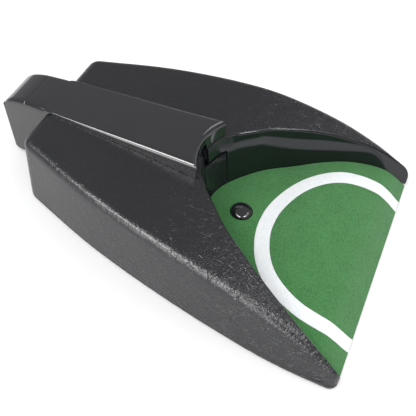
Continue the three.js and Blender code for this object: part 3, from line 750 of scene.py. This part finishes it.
@dataclass
class HousingShape:
    """The plan, height and mouth of the housing, shared by the shell, the cover and the ramp."""

    floor: float = 3.5 * MM
    wall: float = 2.5 * MM
    front_rounding: float = 7 * MM
    rear_rounding: float = 8 * MM
    rear_wall: float = 4.5 * MM
    base_width: Pairs = ((0, 113.8), (36.5, 113.7), (73, 110.7), (146, 98.7), (219, 81.8), (291.6, 57.5))
    top_width: Pairs = ((0, 109.4), (36.5, 106.7), (73, 104.3), (146, 96.6), (219, 80.3), (291.6, 55.3))
    top_height: Pairs = ((0, 17), (36.5, 36.8), (73, 50.3), (110, 58.8), (146, 63.2), (219, 65), (291.6, 64.1))
    edge_radius: Pairs = ((0, 9), (60, 8), (150, 7), (291.6, 7))
    ramp_edge: Pairs = ((102.2, 0), (95.2, 38), (79.2, 76), (56, 114), (41, 130), (28.5, 140), (15, 147.3),
                        (0, 150.6))
    mouth_lip: Pairs = ((109.5, 0), (96.9, 38), (80.2, 76), (57.2, 114), (43.2, 130), (33, 141), (19, 153.4),
                        (0, 158.6))
    ramp_height: Pairs = ((0, 1.4), (5, 4.9), (9.7, 8.5), (19.4, 14.2), (29.1, 16.4), (38.8, 17.5),
                          (58.2, 18.2), (77.6, 15.6), (97, 11.9), (116.4, 10.5), (135.8, 9.6), (155, 9.1))
    lip_radius: float = 2.4 * MM
    lip_turn: Sequence[float] = (0, 12, 24, 36, 48, 60, 70, 80)
    under_cover: float = 30 * MM
    wall_share: float = 0.75
    cutter_foot: float = -12 * MM
    cutter_head: float = 92 * MM
    cutter_reach: float = 6 * MM
    nose_crowding: float = 1.4

    def read(self, pairs: Pairs, along: float) -> float:
        """A curve's value in metres at a distance in metres."""
        return smooth(pairs, along / MM) * MM

    def top(self, along: float) -> float:
        """Height of the housing's flat top."""
        return self.read(self.top_height, along)

    def ramp(self, along: float) -> float:
        """Height of the ramp's flocked surface."""
        return self.read(self.ramp_height, along)

    def end_inset(self, along: float) -> float:
        """How far the housing draws in at its rounded front and rear ends.

        Args:
            along: Distance from the front.

        Returns:
            The inset, 0 away from the ends.
        """
        inset = 0.0
        for radius, depth in ((self.front_rounding, self.front_rounding - along),
                              (self.rear_rounding, along - (BODY_LENGTH - self.rear_rounding))):
            part = min(max(depth, 0.0) / radius, 1.0)
            inset += radius * (1 - math.sqrt(1 - part * part))
        return inset

    def section(self, along: float, bottom: float, inset: float, rounds: int = 9) -> list[tuple[float, float]]:
        """The right half of a cross-section, as (x, z) from the bottom edge to the middle of the top.

        Args:
            along: Distance from the front.
            bottom: Height of the bottom edge.
            inset: How far it is drawn in.
            rounds: Steps of the rounded edge.

        Returns:
            The points.
        """
        base = self.read(self.base_width, along) - inset
        width = self.read(self.top_width, along) - inset
        top = self.top(along) - inset
        lean = (base - width) / top
        radius = self.read(self.edge_radius, along) - inset
        radius = min(max(radius, 1 * MM), 0.9 * (top - self.floor))
        start, corner, end = (width + lean * radius, top - radius), (width, top), (width - radius, top)
        side = [(base - lean * z, z) for z in spread(bottom, start[1], 7)[:-1]]
        curve = [tuple(a * (1 - t) ** 2 + 2 * b * t * (1 - t) + c * t * t
                       for a, b, c in zip(start, corner, end)) for t in spread(0, 1, rounds)]
        flat = [(end[0] * (1 - t), top) for t in spread(0, 1, 22)[1:]]
        return side + curve + flat

    def lathe(self, name: str, stations: Sequence[float], bottom: float,
              inset: Callable[[float], float]) -> bpy.types.Object:
        """A solid of cross-sections at stations along the housing.

        Args:
            name: The new object's name.
            stations: Their distances from the front.
            bottom: Height of the bottom edge.
            inset: How far a section is drawn in at a distance.

        Returns:
            The solid.
        """
        rings = []
        for along in stations:
            half = self.section(along, bottom, inset(along))
            ring = half + [(-x, z) for x, z in half[-2::-1]]
            rings.append([Vector((x, row(along), z)) for x, z in ring + half[:1]])
        return loft(name, rings)

    def lip_point(self, t: float, part: float, rise: float, margin: float) -> Vector:
        """A point of the mouth's wall.

        Args:
            t: 0 at the nose, 1 at the middle of the back.
            part: 0 at the ramp, 1 at the height of the top.
            rise: Added height in metres.
            margin: Distance out from the wall.

        Returns:
            The point, on the right-hand side.
        """
        low, high = spline(self.ramp_edge, t) * MM, spline(self.mouth_lip, t) * MM
        foot, head = self.ramp(low.y), self.top(high.y)
        step = 1e-3
        before, after = max(t - step, 0), min(t + step, 1)
        run = (spline(self.ramp_edge, after) - spline(self.ramp_edge, before)).normalized()
        outward = Vector((0, 1)) if t >= 1 else Vector((run.y, -run.x))
        height = foot + (head - foot) * part + rise
        spot = low.lerp(high, (height - foot) / (head - foot)) + outward * margin
        return Vector((spot.x, row(spot.y), height))

    def mouth(self, name: str, margin: float, flared: bool = False, fineness: int = 110) -> bpy.types.Object:
        """The space of the mouth, as a solid to cut with.

        Args:
            name: The cutter's name.
            margin: How far it is grown beyond the mouth's wall.
            flared: Whether its rim opens out, which leaves a rounded lip.
            fineness: Steps from the nose to the middle of the back.

        Returns:
            The cutter.
        """
        levels: list[tuple[float, float, Level]] = [(0, self.cutter_foot, Level.FLAT), (0, 0, Level.WALL)]
        levels += [(part, 0, Level.WALL) for part in spread(0, self.wall_share, 8)[1:]]
        if flared:
            levels += [(1, angle, Level.LIP) for angle in self.lip_turn] + [(1, 0.08 * MM, Level.WALL)]
        else:
            levels += [(1, 0, Level.WALL)]
        levels += [(1, self.cutter_head, Level.FLAT)]
        ts = [step**self.nose_crowding for step in spread(0, 1, fineness)]
        rings = []
        for part, extra, kind in levels:
            half = [self._rim_point(t, part, extra, kind, margin, flared) for t in ts]
            front = half[0].copy()
            front.y = row(-self.cutter_reach)
            ring = [front] + half
            ring += [Vector((-p.x, p.y, p.z)) for p in reversed(ring[:-1])]
            rings.append(ring + [front])
        return loft(name, rings)

    def _rim_point(self, t: float, part: float, extra: float, kind: Level, margin: float,
                   flared: bool) -> Vector:
        """A point of the mouth's cutter.

        Args:
            t: 0 at the nose, 1 at the middle of the back.
            part: 0 at the ramp, 1 at the height of the top.
            extra: Added height on the wall, the turn in degrees on the lip, the height on a flat level.
            kind: What the level belongs to.
            margin: Distance out from the mouth's wall.
            flared: Whether the rim opens out.

        Returns:
            The point, on the right-hand side.
        """
        beside = (spline(self.mouth_lip, t) * MM).x
        wide = ease(self.under_cover - 3 * MM, self.under_cover + 3 * MM, beside)
        radius = (self.lip_radius if flared else 0.0) * wide + 0.02 * MM
        if kind is Level.LIP:
            turn = math.radians(extra)
            return self.lip_point(t, 1, -radius * (1 - math.sin(turn)), margin + radius * (1 - math.cos(turn)))
        out = 0.0
        if part == 1 and flared:
            last = math.radians(self.lip_turn[-1])
            out = radius * (1 - math.cos(last)) + 0.05 * MM + 0.55 * MM * wide
        if kind is Level.FLAT:
            extra -= self.lip_point(t, part, 0, 0).z
        return self.lip_point(t, part, extra, margin + out)


# ------------------------------------------------------------------ sub-assemblies


@dataclass
class Housing:
    """The crinkled shell with its mouth."""

    shape: HousingShape
    front_steps: Sequence[float] = (0, 0.15, 0.4, 0.8, 1.4, 2.1, 3, 4, 5, 6, 7)
    rear_steps: Sequence[float] = (8, 6.6, 5.2, 3.9, 2.8, 1.9, 1.2, 0.65, 0.28, 0.07, 0)
    window: tuple[float, float, float] = (24 * MM, 10.4 * MM, 48.4 * MM)
    window_run: tuple[float, float] = (139 * MM, 162 * MM)
    arm_half: float = 4.8 * MM
    arm_run: tuple[float, float] = (145 * MM, 165 * MM)
    drive_half: float = 20.6 * MM
    drive_run: tuple[float, float] = (163 * MM, 258 * MM)
    tail_hole: tuple[float, float, float] = (9 * MM, 24 * MM, 34 * MM)
    mouth_end: float = 162 * MM
    wall_reach: float = 11 * MM
    side_skin: float = 6 * MM

    def shell(self, finish: Tree) -> bpy.types.Object:
        """The moulded top: outside, mouth with a rounded lip, hollow, window and slots.

        Args:
            finish: Its material.

        Returns:
            The piece.
        """
        s = self.shape
        stations = [v * MM for v in self.front_steps]
        stations += spread(9 * MM, BODY_LENGTH - 10 * MM, 118)
        stations += [BODY_LENGTH - v * MM for v in self.rear_steps]
        shell = s.lathe("top_shell_piece", stations, s.floor, s.end_inset)
        carve(shell, s.mouth("mouth_cutter", 0, flared=True))
        hollow = s.lathe("hollow", spread(s.wall, BODY_LENGTH - s.rear_wall, 50), -2 * MM, lambda _: s.wall)
        carve(hollow, s.mouth("mouth_jacket", s.wall, fineness=50))
        carve(shell, hollow)
        self._cut_slots(shell)
        self._paint_polished(shell)
        polish(shell, 42)
        finish.dress(shell)
        return settle(shell, "top_shell", "housing")

    def _cut_slots(self, shell: bpy.types.Object) -> None:
        """The kicker's window, its arm's slot, the drive's slot under the cover and the tail's opening.

        Args:
            shell: The housing shell.
        """
        width, sill, top = self.window
        slots = {"window": (width, self.window_run, sill, top),
                 "arm": (self.arm_half, self.arm_run, sill, ABOVE_ALL),
                 "drive": (self.drive_half, self.drive_run, sill, ABOVE_ALL)}
        half, low, high = self.tail_hole
        slots["tail"] = (half, (BODY_LENGTH - 6.5 * MM, BODY_LENGTH + 1 * MM), low, high)
        for name, (half, (start, end), low, high) in slots.items():
            carve(shell, block(name, (-half, row(start), low), (half, row(end), high)))

    def _paint_polished(self, shell: bpy.types.Object) -> None:
        """Paints the mask that tells the mouth's polished wall from the crinkled outside.

        Args:
            shell: The housing shell.
        """
        s = self.shape
        rim = [spline(s.mouth_lip, t) * MM for t in spread(0, 1, 60)]
        mask = shell.data.attributes.new("polished", "FLOAT", "POINT")
        normals = shell.data.vertex_normals
        for vertex in shell.data.vertices:
            x, along, z = abs(vertex.co.x), vertex.co.y + LENGTH / 2, vertex.co.z
            inside = 0.0
            if along < self.mouth_end and z < s.top(along) - 0.4 * MM:
                near = min(rim, key=lambda p: (p.x - x) ** 2 + (p.y - along) ** 2)
                gap = math.hypot(near.x - x, near.y - along)
                facing = normals[vertex.index].vector
                inward = facing.x * math.copysign(near.x, vertex.co.x) + facing.y * (near.y - 30 * MM)
                buried = s.read(s.base_width, along) - x > self.side_skin
                leaning = facing.z > 0.02 and inward < -20 * MM
                if gap < self.wall_reach and inward < 0 and (buried or leaning):
                    inside = 1.0
            mask.data[vertex.index].value = inside


@dataclass
class Ramp:
    """The flocked sheet, its white line and the trigger button."""

    shape: HousingShape
    thickness: float = 1 * MM
    lip: float = 0.4 * MM
    line_centre: float = 36.1 * MM
    line_radius: Pairs = ((0, 60.6), (26, 61.9), (52, 66.3), (78, 71.6), (104, 77), (130, 90.2), (150, 104))
    line_width: float = 12.3 * MM
    line_depth: float = 0.5 * MM
    line_end: float = 142
    line_steps: int = 180
    button: tuple[float, float] = (120.2 * MM, 9.25 * MM)
    button_play: float = 0.5 * MM
    button_inside: Pairs = ((0, 11.9), (2.5, 11.8), (5, 11.4), (6.4, 9.5), (6.4, 5.2))
    button_flange: Pairs = ((11.0, 5.2), (11.2, 5.4), (11.2, 5.9), (11.0, 6.1))
    button_side: Sequence[float] = (6.1, 7.5, 9.0)
    button_dome: tuple[float, float] = (9.8, 13.9)
    button_faces: int = 72
    reach: float = 154 * MM
    half_width: float = 115 * MM
    fineness: tuple[int, int] = (110, 46)

    def _slab(self, name: str, upper: float, lower: float) -> bpy.types.Object:
        """A slab between two depths under the flocked surface.

        Args:
            name: The new object's name.
            upper: Depth of its top.
            lower: Depth of its underside.

        Returns:
            The slab, wider than the mouth.
        """
        rows, columns = self.fineness
        along = spread(0, self.reach, rows)
        top = [(y, max(self.shape.ramp(y) - upper, self.lip + 0.2 * MM)) for y in along]
        under = [(y, max(self.shape.ramp(y) - lower, self.lip)) for y in reversed(along)]
        ring = top + under + top[:1]
        across = spread(-self.half_width, self.half_width, columns)
        return loft(name, [[Vector((x, row(y), z)) for y, z in ring] for x in across])

    def _band(self, name: str, margin: float, bottom: float, top: float, soft: float = 0.0) -> bpy.types.Object:
        """The line as a band that follows the ramp, between two heights over it.

        Args:
            name: The new object's name.
            margin: How much wider it is on each side.
            bottom: Height of its underside over the flock.
            top: Height of its top over the flock.
            soft: Size of its softened edges.

        Returns:
            The band, longer than the ramp.
        """
        half = self.line_width / 2 + margin
        profile = [(-half, bottom), (-half, top - soft), (-half + soft, top)]
        profile += [(x, top) for x in spread(-half + soft + 0.5 * MM, half - soft - 0.5 * MM, 6)]
        profile += [(half - soft, top), (half, top - soft)]
        profile += [(x, bottom) for x in spread(half, -half, 9)]
        columns = len(profile) - 1

        def place(u: float, v: float) -> Vector:
            """A point of the band.

            Args:
                u: How far round its section, from 0 to 1.
                v: How far along the line, from 0 to 1.

            Returns:
                The point.
            """
            angle = self.line_end * (2 * v - 1)
            offset, lift = profile[round(u * columns)]
            radius = smooth(self.line_radius, abs(angle)) * MM + offset
            turn = math.radians(angle)
            along = self.line_centre + radius * math.cos(turn)
            return Vector((radius * math.sin(turn), row(along), self.shape.ramp(along) + lift))

        return weave(name, columns, self.line_steps, place)

    def turf(self, finish: Tree) -> bpy.types.Object:
        """The green sheet, grooved for the line and holed for the button.

        Args:
            finish: Its material.

        Returns:
            The piece.
        """
        sheet = self._slab("turf_piece", 0, self.thickness)
        carve(sheet, self.shape.mouth("turf_edge", -0.4 * MM), "INTERSECT")
        carve(sheet, self._band("groove", 0.12 * MM, -self.line_depth, 3 * MM))
        along, radius = self.button
        hole, rim = radius + self.button_play, 30 * MM
        profile = ((0, 0), (hole, 0), (hole, rim), (0, rim))
        carve(sheet, turned("button_hole", profile, along, self.button_faces))
        bevel(sheet, 0.18 * MM, 2, 50)
        polish(sheet)
        finish.dress(sheet)
        return settle(sheet, "turf", "housing")

    def line(self, finish: Tree) -> bpy.types.Object:
        """The white line, laid in its groove.

        Args:
            finish: Its material.

        Returns:
            The piece.
        """
        strip = self._band("target_line_piece", 0, -self.line_depth + 0.15 * MM, 0.08 * MM, 0.15 * MM)
        carve(strip, self.shape.mouth("line_edge", -0.5 * MM), "INTERSECT")
        ahead = block("ahead_of_the_ramp", (-LENGTH, row(-60 * MM), -20 * MM), (LENGTH, row(0), ABOVE_ALL))
        carve(strip, ahead)
        polish(strip, 60)
        finish.dress(strip)
        return settle(strip, "target_line", "housing")

    def trigger(self, finish: Tree) -> bpy.types.Object:
        """The domed button with the flange that keeps it under the ramp.

        Args:
            finish: Its material.

        Returns:
            The piece.
        """
        along, radius = self.button
        r, (foot, crown) = radius / MM, self.button_dome
        dome = []
        for t in spread(0, 1, 14):
            a, b = (1 - t) ** 2, 2 * t * (1 - t)
            dome.append((r * a + (r - 0.5) * b, foot * a + crown * b + crown * t * t))
        side = [(r, height) for height in self.button_side]
        profile = metres([*self.button_inside, *self.button_flange, *side, *dome])
        piece = turned("trigger_button_piece", profile, along, self.button_faces)
        polish(piece)
        finish.dress(piece)
        return settle(piece, "trigger_button", "trigger")


@dataclass
class Cover:
    """The polished cover over the kicker, with its scooped front and the tail."""

    shape: HousingShape
    front: float = 146 * MM
    nose_end: float = 156 * MM
    gap: float = 0.3 * MM
    wall: float = 2 * MM
    edge: float = 4.4 * MM
    corner: float = 3.8 * MM
    crease: float = 311.3 * MM
    crease_depth: float = 0.35 * MM
    half_width: Pairs = ((146, 28.2), (230, 24.1), (310.7, 19.8), (333.6, 18.8))
    top_line: Pairs = ((146, 78.1), (200, 73.6), (260, 68.6), (311.5, 64.3), (324, 61), (331, 56.5),
                       (333.6, 53))
    scoop_centre: float = 112.2 * MM
    scoop_radius: float = 48.6 * MM
    scoop_floor: float = 55 * MM
    scoop_rim: float = 77 * MM
    scoop_half: float = 27.8 * MM
    corner_lead: float = 0.8 * MM
    nose_radius: float = 5.5 * MM
    nose_turn: float = 78
    tail_front: float = BODY_LENGTH + 0.3 * MM
    rear_low: float = 329 * MM
    rear_high: float = 52 * MM
    arm_half: float = 4.8 * MM
    arm_run: tuple[float, float] = (145 * MM, 170 * MM)
    arm_rise: tuple[float, float] = (50 * MM, 69 * MM)
    hollow_low: float = 50 * MM
    inlet_height: float = 32 * MM
    inlet_bore: float = 4.8 * MM
    switch_hole: tuple[float, float, float] = (5.4 * MM, 12.6 * MM, 17.4 * MM)
    rear_hole_run: tuple[float, float] = (322 * MM, 340 * MM)
    softening: float = 0.8 * MM

    def width(self, along: float) -> float:
        """Half the cover's width, drawn in round its front corners.

        Args:
            along: Distance from the front.

        Returns:
            The half width.
        """
        half = smooth(self.half_width, along / MM) * MM
        reach = math.sqrt(self.scoop_radius**2 - self.scoop_half**2)
        start = self.scoop_centre + reach - self.corner_lead
        depth = min(max(1 - (along - start) / self.corner, 0.0), 1.0)
        return half - self.corner * (1 - math.sqrt(1 - depth * depth))

    def top(self, along: float) -> float:
        """Height of the cover, with the fine crease across it where the tail turns down."""
        groove = self.crease_depth * (1 - ease(0.15 * MM, 0.5 * MM, abs(along - self.crease)))
        return smooth(self.top_line, along / MM) * MM - groove

    def floor(self, along: float, low: float) -> float:
        """Height of the tail's underside, which climbs up its leaning rear wall."""
        climb = max((along - self.rear_low) / (LENGTH - self.rear_low), 0.0)
        return low + climb * (self.rear_high - low)

    def _ring(self, along: float, bottom: float, inset: float, drop: float = 0.0) -> list[Vector]:
        """One closed cross-section.

        Args:
            along: Distance from the front.
            bottom: Height of its bottom edge.
            inset: How far its sides are drawn in.
            drop: How far its top is lowered.

        Returns:
            Its points, the first one repeated at the end.
        """
        width, top = self.width(along) - inset, self.top(along) - drop
        radius = min(self.edge, (top - bottom) / 2)
        half = [(width, z) for z in spread(bottom, top - radius, 5)[:-1]]
        for t in spread(0, 1, 9):
            a, b, c = (1 - t) ** 2, 2 * t * (1 - t), t * t
            half.append((width * (a + b) + (width - radius) * c, (top - radius) * a + top * (b + c)))
        half += [((width - radius) * (1 - t), top) for t in spread(0, 1, 10)[1:]]
        ring = half + [(-x, z) for x, z in half[-2::-1]] + [half[0]]
        return [Vector((x, row(along), z)) for x, z in ring]

    def _scoop(self, name: str, margin: float, flared: bool) -> bpy.types.Object:
        """The turned hollow of the front, its rim flared to give the thick rounded lip.

        Args:
            name: The new object's name.
            margin: How far it is grown.
            flared: Whether its rim opens out.

        Returns:
            The cutter.
        """
        r = self.scoop_radius + margin
        over = self.scoop_rim + 11 * MM
        profile = [(0, self.scoop_floor), (r - 3.6 * MM, self.scoop_floor), (r - 2.2 * MM, 64 * MM)]
        if flared:
            foot = self.scoop_rim - self.nose_radius
            wall = r - 0.2 * MM
            for angle in spread(0, self.nose_turn, 12):
                turn = math.radians(angle)
                profile.append((wall + self.nose_radius * (1 - math.cos(turn)),
                                foot + self.nose_radius * math.sin(turn)))
            profile += [(wall + 9 * MM, self.scoop_rim + 2.5 * MM), (wall + 9 * MM, over)]
        else:
            profile.append((r + 0.6 * MM, over))
        profile.append((0, over))
        return turned(name, profile, self.scoop_centre, sides=220)

    def _outside(self) -> bpy.types.Object:
        """The cover over the housing and the tail behind it, as one solid."""
        s = self.shape
        strip = spread(self.front, self.nose_end, 30)
        strip += spread(self.nose_end + 2 * MM, BODY_LENGTH - 9 * MM, 56)
        strip += spread(BODY_LENGTH - 8 * MM, BODY_LENGTH, 14)
        tail = spread(self.tail_front, self.crease - 0.7 * MM, 10)
        tail += [self.crease + k * MM for k in (-0.45, -0.15, 0.15, 0.45)]
        tail += spread(self.crease + 0.7 * MM, self.rear_low, 12)
        tail += spread(self.rear_low + 0.6 * MM, LENGTH, 14)
        bottoms = [s.top(y) - s.end_inset(y) + self.gap for y in strip]
        rings = [self._ring(y, bottom, 0) for y, bottom in zip(strip, bottoms)]
        rings.append(self._ring(self.tail_front, bottoms[-1], 0))
        rings += [self._ring(y, self.floor(y, s.floor), 0) for y in tail]
        return loft("bridge_cover_piece", rings)

    def _hollow(self) -> bpy.types.Object:
        """The space under the cover, which ends at the scoop's wall."""
        run = spread(self.front - 1 * MM, self.tail_front - 8 * MM, 24)
        hollow = loft("cover_hollow", [self._ring(y, self.hollow_low, self.wall, self.wall) for y in run])
        carve(hollow, self._scoop("scoop_jacket", self.wall, False))
        return hollow

    def _tail_hollow(self) -> bpy.types.Object:
        """The space in the tail."""
        run = spread(self.tail_front - 1 * MM, self.rear_low - self.wall, 8) + [self.rear_low + 1 * MM]
        rings = [self._ring(y, self.floor(y + self.wall, -2 * MM), self.wall, self.wall * 1.2) for y in run]
        return loft("tail_hollow", rings)

    def make(self, finish: Tree) -> bpy.types.Object:
        """The cover and tail as one hollow moulding.

        Args:
            finish: Its material.

        Returns:
            The piece.
        """
        cover = self._outside()
        carve(cover, self._scoop("scoop", 0, True))
        carve(cover, self._hollow())
        carve(cover, self._tail_hollow())
        (start, end), (low, high) = self.arm_run, self.arm_rise
        carve(cover, block("arm", (-self.arm_half, row(start), low), (self.arm_half, row(end), high)))
        self._sockets(cover)
        bevel(cover, self.softening, 3, 50)
        polish(cover, 38)
        finish.dress(cover)
        return settle(cover, "bridge_cover", "housing")

    def _sockets(self, cover: bpy.types.Object) -> None:
        """The holes in the tail for the power inlet and the switch.

        Args:
            cover: The cover.
        """
        start, end = self.rear_hole_run
        deselect()
        bpy.ops.mesh.primitive_cylinder_add(
            vertices=48, radius=self.inlet_bore, depth=end - start,
            location=(0, row((start + end) / 2), self.inlet_height), rotation=(math.pi / 2, 0, 0))
        bore = bpy.context.object
        bpy.ops.object.transform_apply(location=True, rotation=True, scale=True)
        carve(cover, bore)
        half, low, high = self.switch_hole
        carve(cover, block("switch", (-half, row(start), low), (half, row(end), high)))


@dataclass
class CarriedOver:
    """A sub-assembly whose CAD shapes are right: its pieces are merged, cleaned copies with soft edges."""

    frame: dict
    finishes: Finishes
    flat_angle: float = 1.0
    weld_gap: float = 2e-6

    def refine(self, nodes: Iterable[str], finish: Tree, slot: str, soft: float = 0.0) -> None:
        """Makes the pieces for some nodes alike.

        Args:
            nodes: The CAD nodes' names.
            finish: Their material.
            slot: The record's material slot.
            soft: Width of their rounded edges in metres, or 0 for none.
        """
        for node in nodes:
            self.copy(node, finish, slot, soft)

    def copy(self, node: str, finish: Tree, slot: str, soft: float = 0.0) -> bpy.types.Object:
        """Makes the piece for one node.

        Args:
            node: The CAD node's name.
            finish: Its material.
            slot: The record's material slot; not used.
            soft: Width of its rounded edges in metres, or 0 for none.

        Returns:
            The piece.
        """
        source = self.frame["nodes"][node]
        piece = bpy.data.objects.new(node + "_piece", source.data.copy())
        bpy.context.scene.collection.objects.link(piece)
        edit(piece, lambda: bpy.ops.mesh.remove_doubles(threshold=self.weld_gap),
             lambda: bpy.ops.mesh.dissolve_limited(angle_limit=math.radians(self.flat_angle)))
        if soft:
            bevel(piece, soft)
        polish(piece)
        finish.dress(piece)
        return settle(piece, node, source["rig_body"])


@dataclass
class Base(CarriedOver):
    """The plates, door, feet and screws underneath."""

    plate_edge: float = 0.3 * MM
    foot_edge: float = 0.6 * MM
    screw_edge: float = 0.12 * MM

    def make(self) -> None:
        """Makes every piece of the base."""
        f = self.finishes
        self.refine(["base_plate", "ramp_plate", "battery_door"], f.plain, "plain_black_plastic",
                    self.plate_edge)
        self.refine([f"foot_{k}" for k in range(1, 5)], f.rubber, "rubber", self.foot_edge)
        self.refine([f"base_screw_{k}" for k in range(1, 9)], f.steel, "steel", self.screw_edge)


@dataclass
class Kicker(CarriedOver):
    """The paddle with its pin, stop and return spring."""

    paddle_edge: float = 0.3 * MM
    pin_edge: float = 0.2 * MM

    def make(self) -> None:
        """Makes every piece of the kicker."""
        f = self.finishes
        self.refine(["kicker"], f.satin, "gloss_black_plastic", self.paddle_edge)
        self.refine(["kicker_pin", "stop_post"], f.steel, "steel", self.pin_edge)
        self.refine(["kicker_spring"], f.wire, "steel")


@dataclass
class TriggerSwitch(CarriedOver):
    """The switch under the button, and the button's spring."""

    body_edge: float = 0.3 * MM
    lever_edge: float = 0.08 * MM

    def make(self) -> None:
        """Makes the switch and the button's spring."""
        f = self.finishes
        self.refine(["switch_body"], f.plain, "plain_black_plastic", self.body_edge)
        self.refine(["switch_lever"], f.brass, "brass", self.lever_edge)
        spring = self.copy("button_spring", f.wire, "steel")
        low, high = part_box("button_spring")
        travel = next(j["range_m"][1] for j in self.frame["joints"] if j["name"] == "trigger_press")
        1 - travel / (high[2] - low[2])
        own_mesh(spring)


@dataclass
class Drive(CarriedOver):
    """The motor, the gear train and the cam in their frame."""

    frame_edge: float = 0.25 * MM
    gear_edge: float = 0.12 * MM
    pinion_edge: float = 0.1 * MM
    shaft_edge: float = 0.2 * MM
    can_edge: float = 0.6 * MM
    cap_edge: float = 0.3 * MM

    def make(self) -> None:
        """Makes every piece of the drive."""
        f = self.finishes
        self.refine(["drive_plate_left", "drive_plate_right", "frame_post_1", "frame_post_2", "motor_bracket"],
                    f.grey, "grey_plastic", self.frame_edge)
        self.refine(["cam", "cam_gear", "second_gear", "first_gear"], f.nylon, "white_nylon", self.gear_edge)
        self.refine(["cam_shaft", "second_shaft", "first_shaft"], f.steel, "steel", self.shaft_edge)
        self.refine(["motor_can"], f.steel, "steel", self.can_edge)
        self.refine(["motor_cap"], f.plain, "plain_black_plastic", self.cap_edge)
        self.refine(["motor_screw_1", "motor_screw_2"], f.steel, "steel", self.gear_edge)
        self.refine(["motor_pinion"], f.brass, "brass", self.pinion_edge)


@dataclass
class Power(CarriedOver):
    """The battery box with its cells, the circuit board, the inlet and the switch."""

    box_edge: float = 0.3 * MM
    cell_edge: float = 0.5 * MM
    strip_edge: float = 0.08 * MM
    board_edge: float = 0.1 * MM

    def make(self) -> None:
        """Makes every piece of the power supply."""
        f = self.finishes
        self.refine(["battery_box", "power_inlet", "power_switch_body", "power_switch_knob"],
                    f.plain, "plain_black_plastic", self.box_edge)
        self.refine([f"cell_{k}" for k in range(1, 5)], f.wrap, "cell_wrap", self.cell_edge)
        self.refine(["contact_left", "contact_right"], f.steel, "steel", self.strip_edge)
        self.refine(["control_board"], f.board, "board_green", self.board_edge)


# ------------------------------------------------------------------ the studio


@dataclass(frozen=True)
class Lamp:
    """A rectangular soft light: its place, the point it faces, its two sides and its watts.

    One that is shine_only shows as a reflection and doesn't light the surfaces.
    """

    name: str
    place: tuple[float, float, float]
    aim: tuple[float, float, float]
    size: tuple[float, float]
    power: float
    shine_only: bool = False

    def hang(self) -> None:
        """Adds the light to the scene."""
        data = bpy.data.lights.new(self.name, "AREA")
        data.shape, data.energy = "RECTANGLE", self.power
        data.size, data.size_y = self.size
        lamp = bpy.data.objects.new(self.name, data)
        bpy.context.scene.collection.objects.link(lamp)
        lamp.visible_diffuse = not self.shine_only
        facing = (Vector(self.place) - Vector(self.aim)).to_track_quat("Z", "Y")
        lamp.matrix_world = Matrix.Translation(self.place) @ facing.to_matrix().to_4x4()


@dataclass
class Studio:
    """Camera, pale floor and soft lights."""

    place: tuple[float, float, float] = (-0.3366, -0.1261, 0.4562)
    right: tuple[float, float, float] = (0.40261714, -0.91200747, 0.0783697)
    up: tuple[float, float, float] = (0.70779156, 0.36446394, 0.60514225)
    back: tuple[float, float, float] = (-0.58045718, -0.18817123, 0.79225062)
    lens: float = 58.01
    floor_size: float = 14.0
    floor_drop: float = 0.4 * MM
    floor_tone: float = 0.93
    ambient: float = 0.92
    mirrored: float = 0.47
    lamps: tuple[Lamp, ...] = (
        Lamp("key_box", (-0.62, 0.3, 1.25), (0, 0, 0), (1.3, 0.42), 9),
        Lamp("edge_panel", (-0.72, 0.3, 0.98), (0, 0, 0.05), (1.2, 0.42), 22, True),
        Lamp("side_panel", (-1.3, 0.1, 0.4), (0, 0, 0.03), (1.6, 0.7), 22, True),
        Lamp("lip_panel", (-0.2, -0.72, 0.98), (0.03, 0, 0.05), (0.45, 0.25), 6.5, True),
        Lamp("far_fill", (0.5, -0.9, 1.2), (0, 0, 0), (0.8, 0.5), 3),
    )

    def camera(self) -> None:
        """The camera at its place."""
        data = bpy.data.cameras.new("camera")
        data.lens, data.sensor_width, data.clip_start = self.lens, 36, 0.01
        camera = bpy.data.objects.new("camera", data)
        bpy.context.scene.collection.objects.link(camera)
        turn = Matrix((self.right, self.up, self.back)).transposed().to_4x4()
        camera.matrix_world = Matrix.Translation(self.place) @ turn
        bpy.context.scene.camera = camera

    def floor(self) -> None:
        """A pale floor under the object."""
        deselect()
        bpy.ops.mesh.primitive_plane_add(size=self.floor_size, location=(0, 0, -self.floor_drop))
        floor = bpy.context.object
        floor.name = "studio_floor"
        tree = Tree("pale_floor")
        tree.feed("Base Color", (self.floor_tone,) * 3)
        tree.feed("Roughness", tree.noise(4, 2) * 0.1 + 0.75)
        tree.feed("Specular IOR Level", 0.1)
        tree.dress(floor)

    def world(self) -> None:
        """A pale surround, dimmer where it is mirrored than where it lights."""
        world = bpy.data.worlds.new("studio")
        world.use_nodes = True
        nodes, links = world.node_tree.nodes, world.node_tree.links
        background = nodes["Background"]
        background.inputs["Color"].default_value = (1, 1, 1, 1)
        strength = nodes.new("ShaderNodeMapRange")
        strength.inputs["To Min"].default_value = self.ambient
        strength.inputs["To Max"].default_value = self.mirrored
        glossy = nodes.new("ShaderNodeLightPath").outputs["Is Glossy Ray"]
        links.new(glossy, strength.inputs["Value"])
        links.new(strength.outputs["Result"], background.inputs["Strength"])
        bpy.context.scene.world = world
        bpy.context.scene.view_settings.view_transform = "Standard"

    def make(self) -> None:
        """Sets the whole studio up."""
        self.camera()
        self.floor()
        self.world()
        for lamp in self.lamps:
            lamp.hang()


# ------------------------------------------------------------------ the object


def main() -> None:
    """Builds the studio and every sub-assembly."""
    logging.basicConfig(level=logging.INFO, format="%(message)s")
    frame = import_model()
    Studio().make()
    finishes = Finishes()
    shape = HousingShape()
    Housing(shape).shell(finishes.crinkle)
    Cover(shape).make(finishes.gloss)
    ramp = Ramp(shape)
    ramp.turf(finishes.green)
    ramp.line(finishes.white)
    ramp.trigger(finishes.gloss)
    for part in (Base, Kicker, TriggerSwitch, Drive, Power):
        part(frame, finishes).make()


if __name__ == "__main__":
    main()
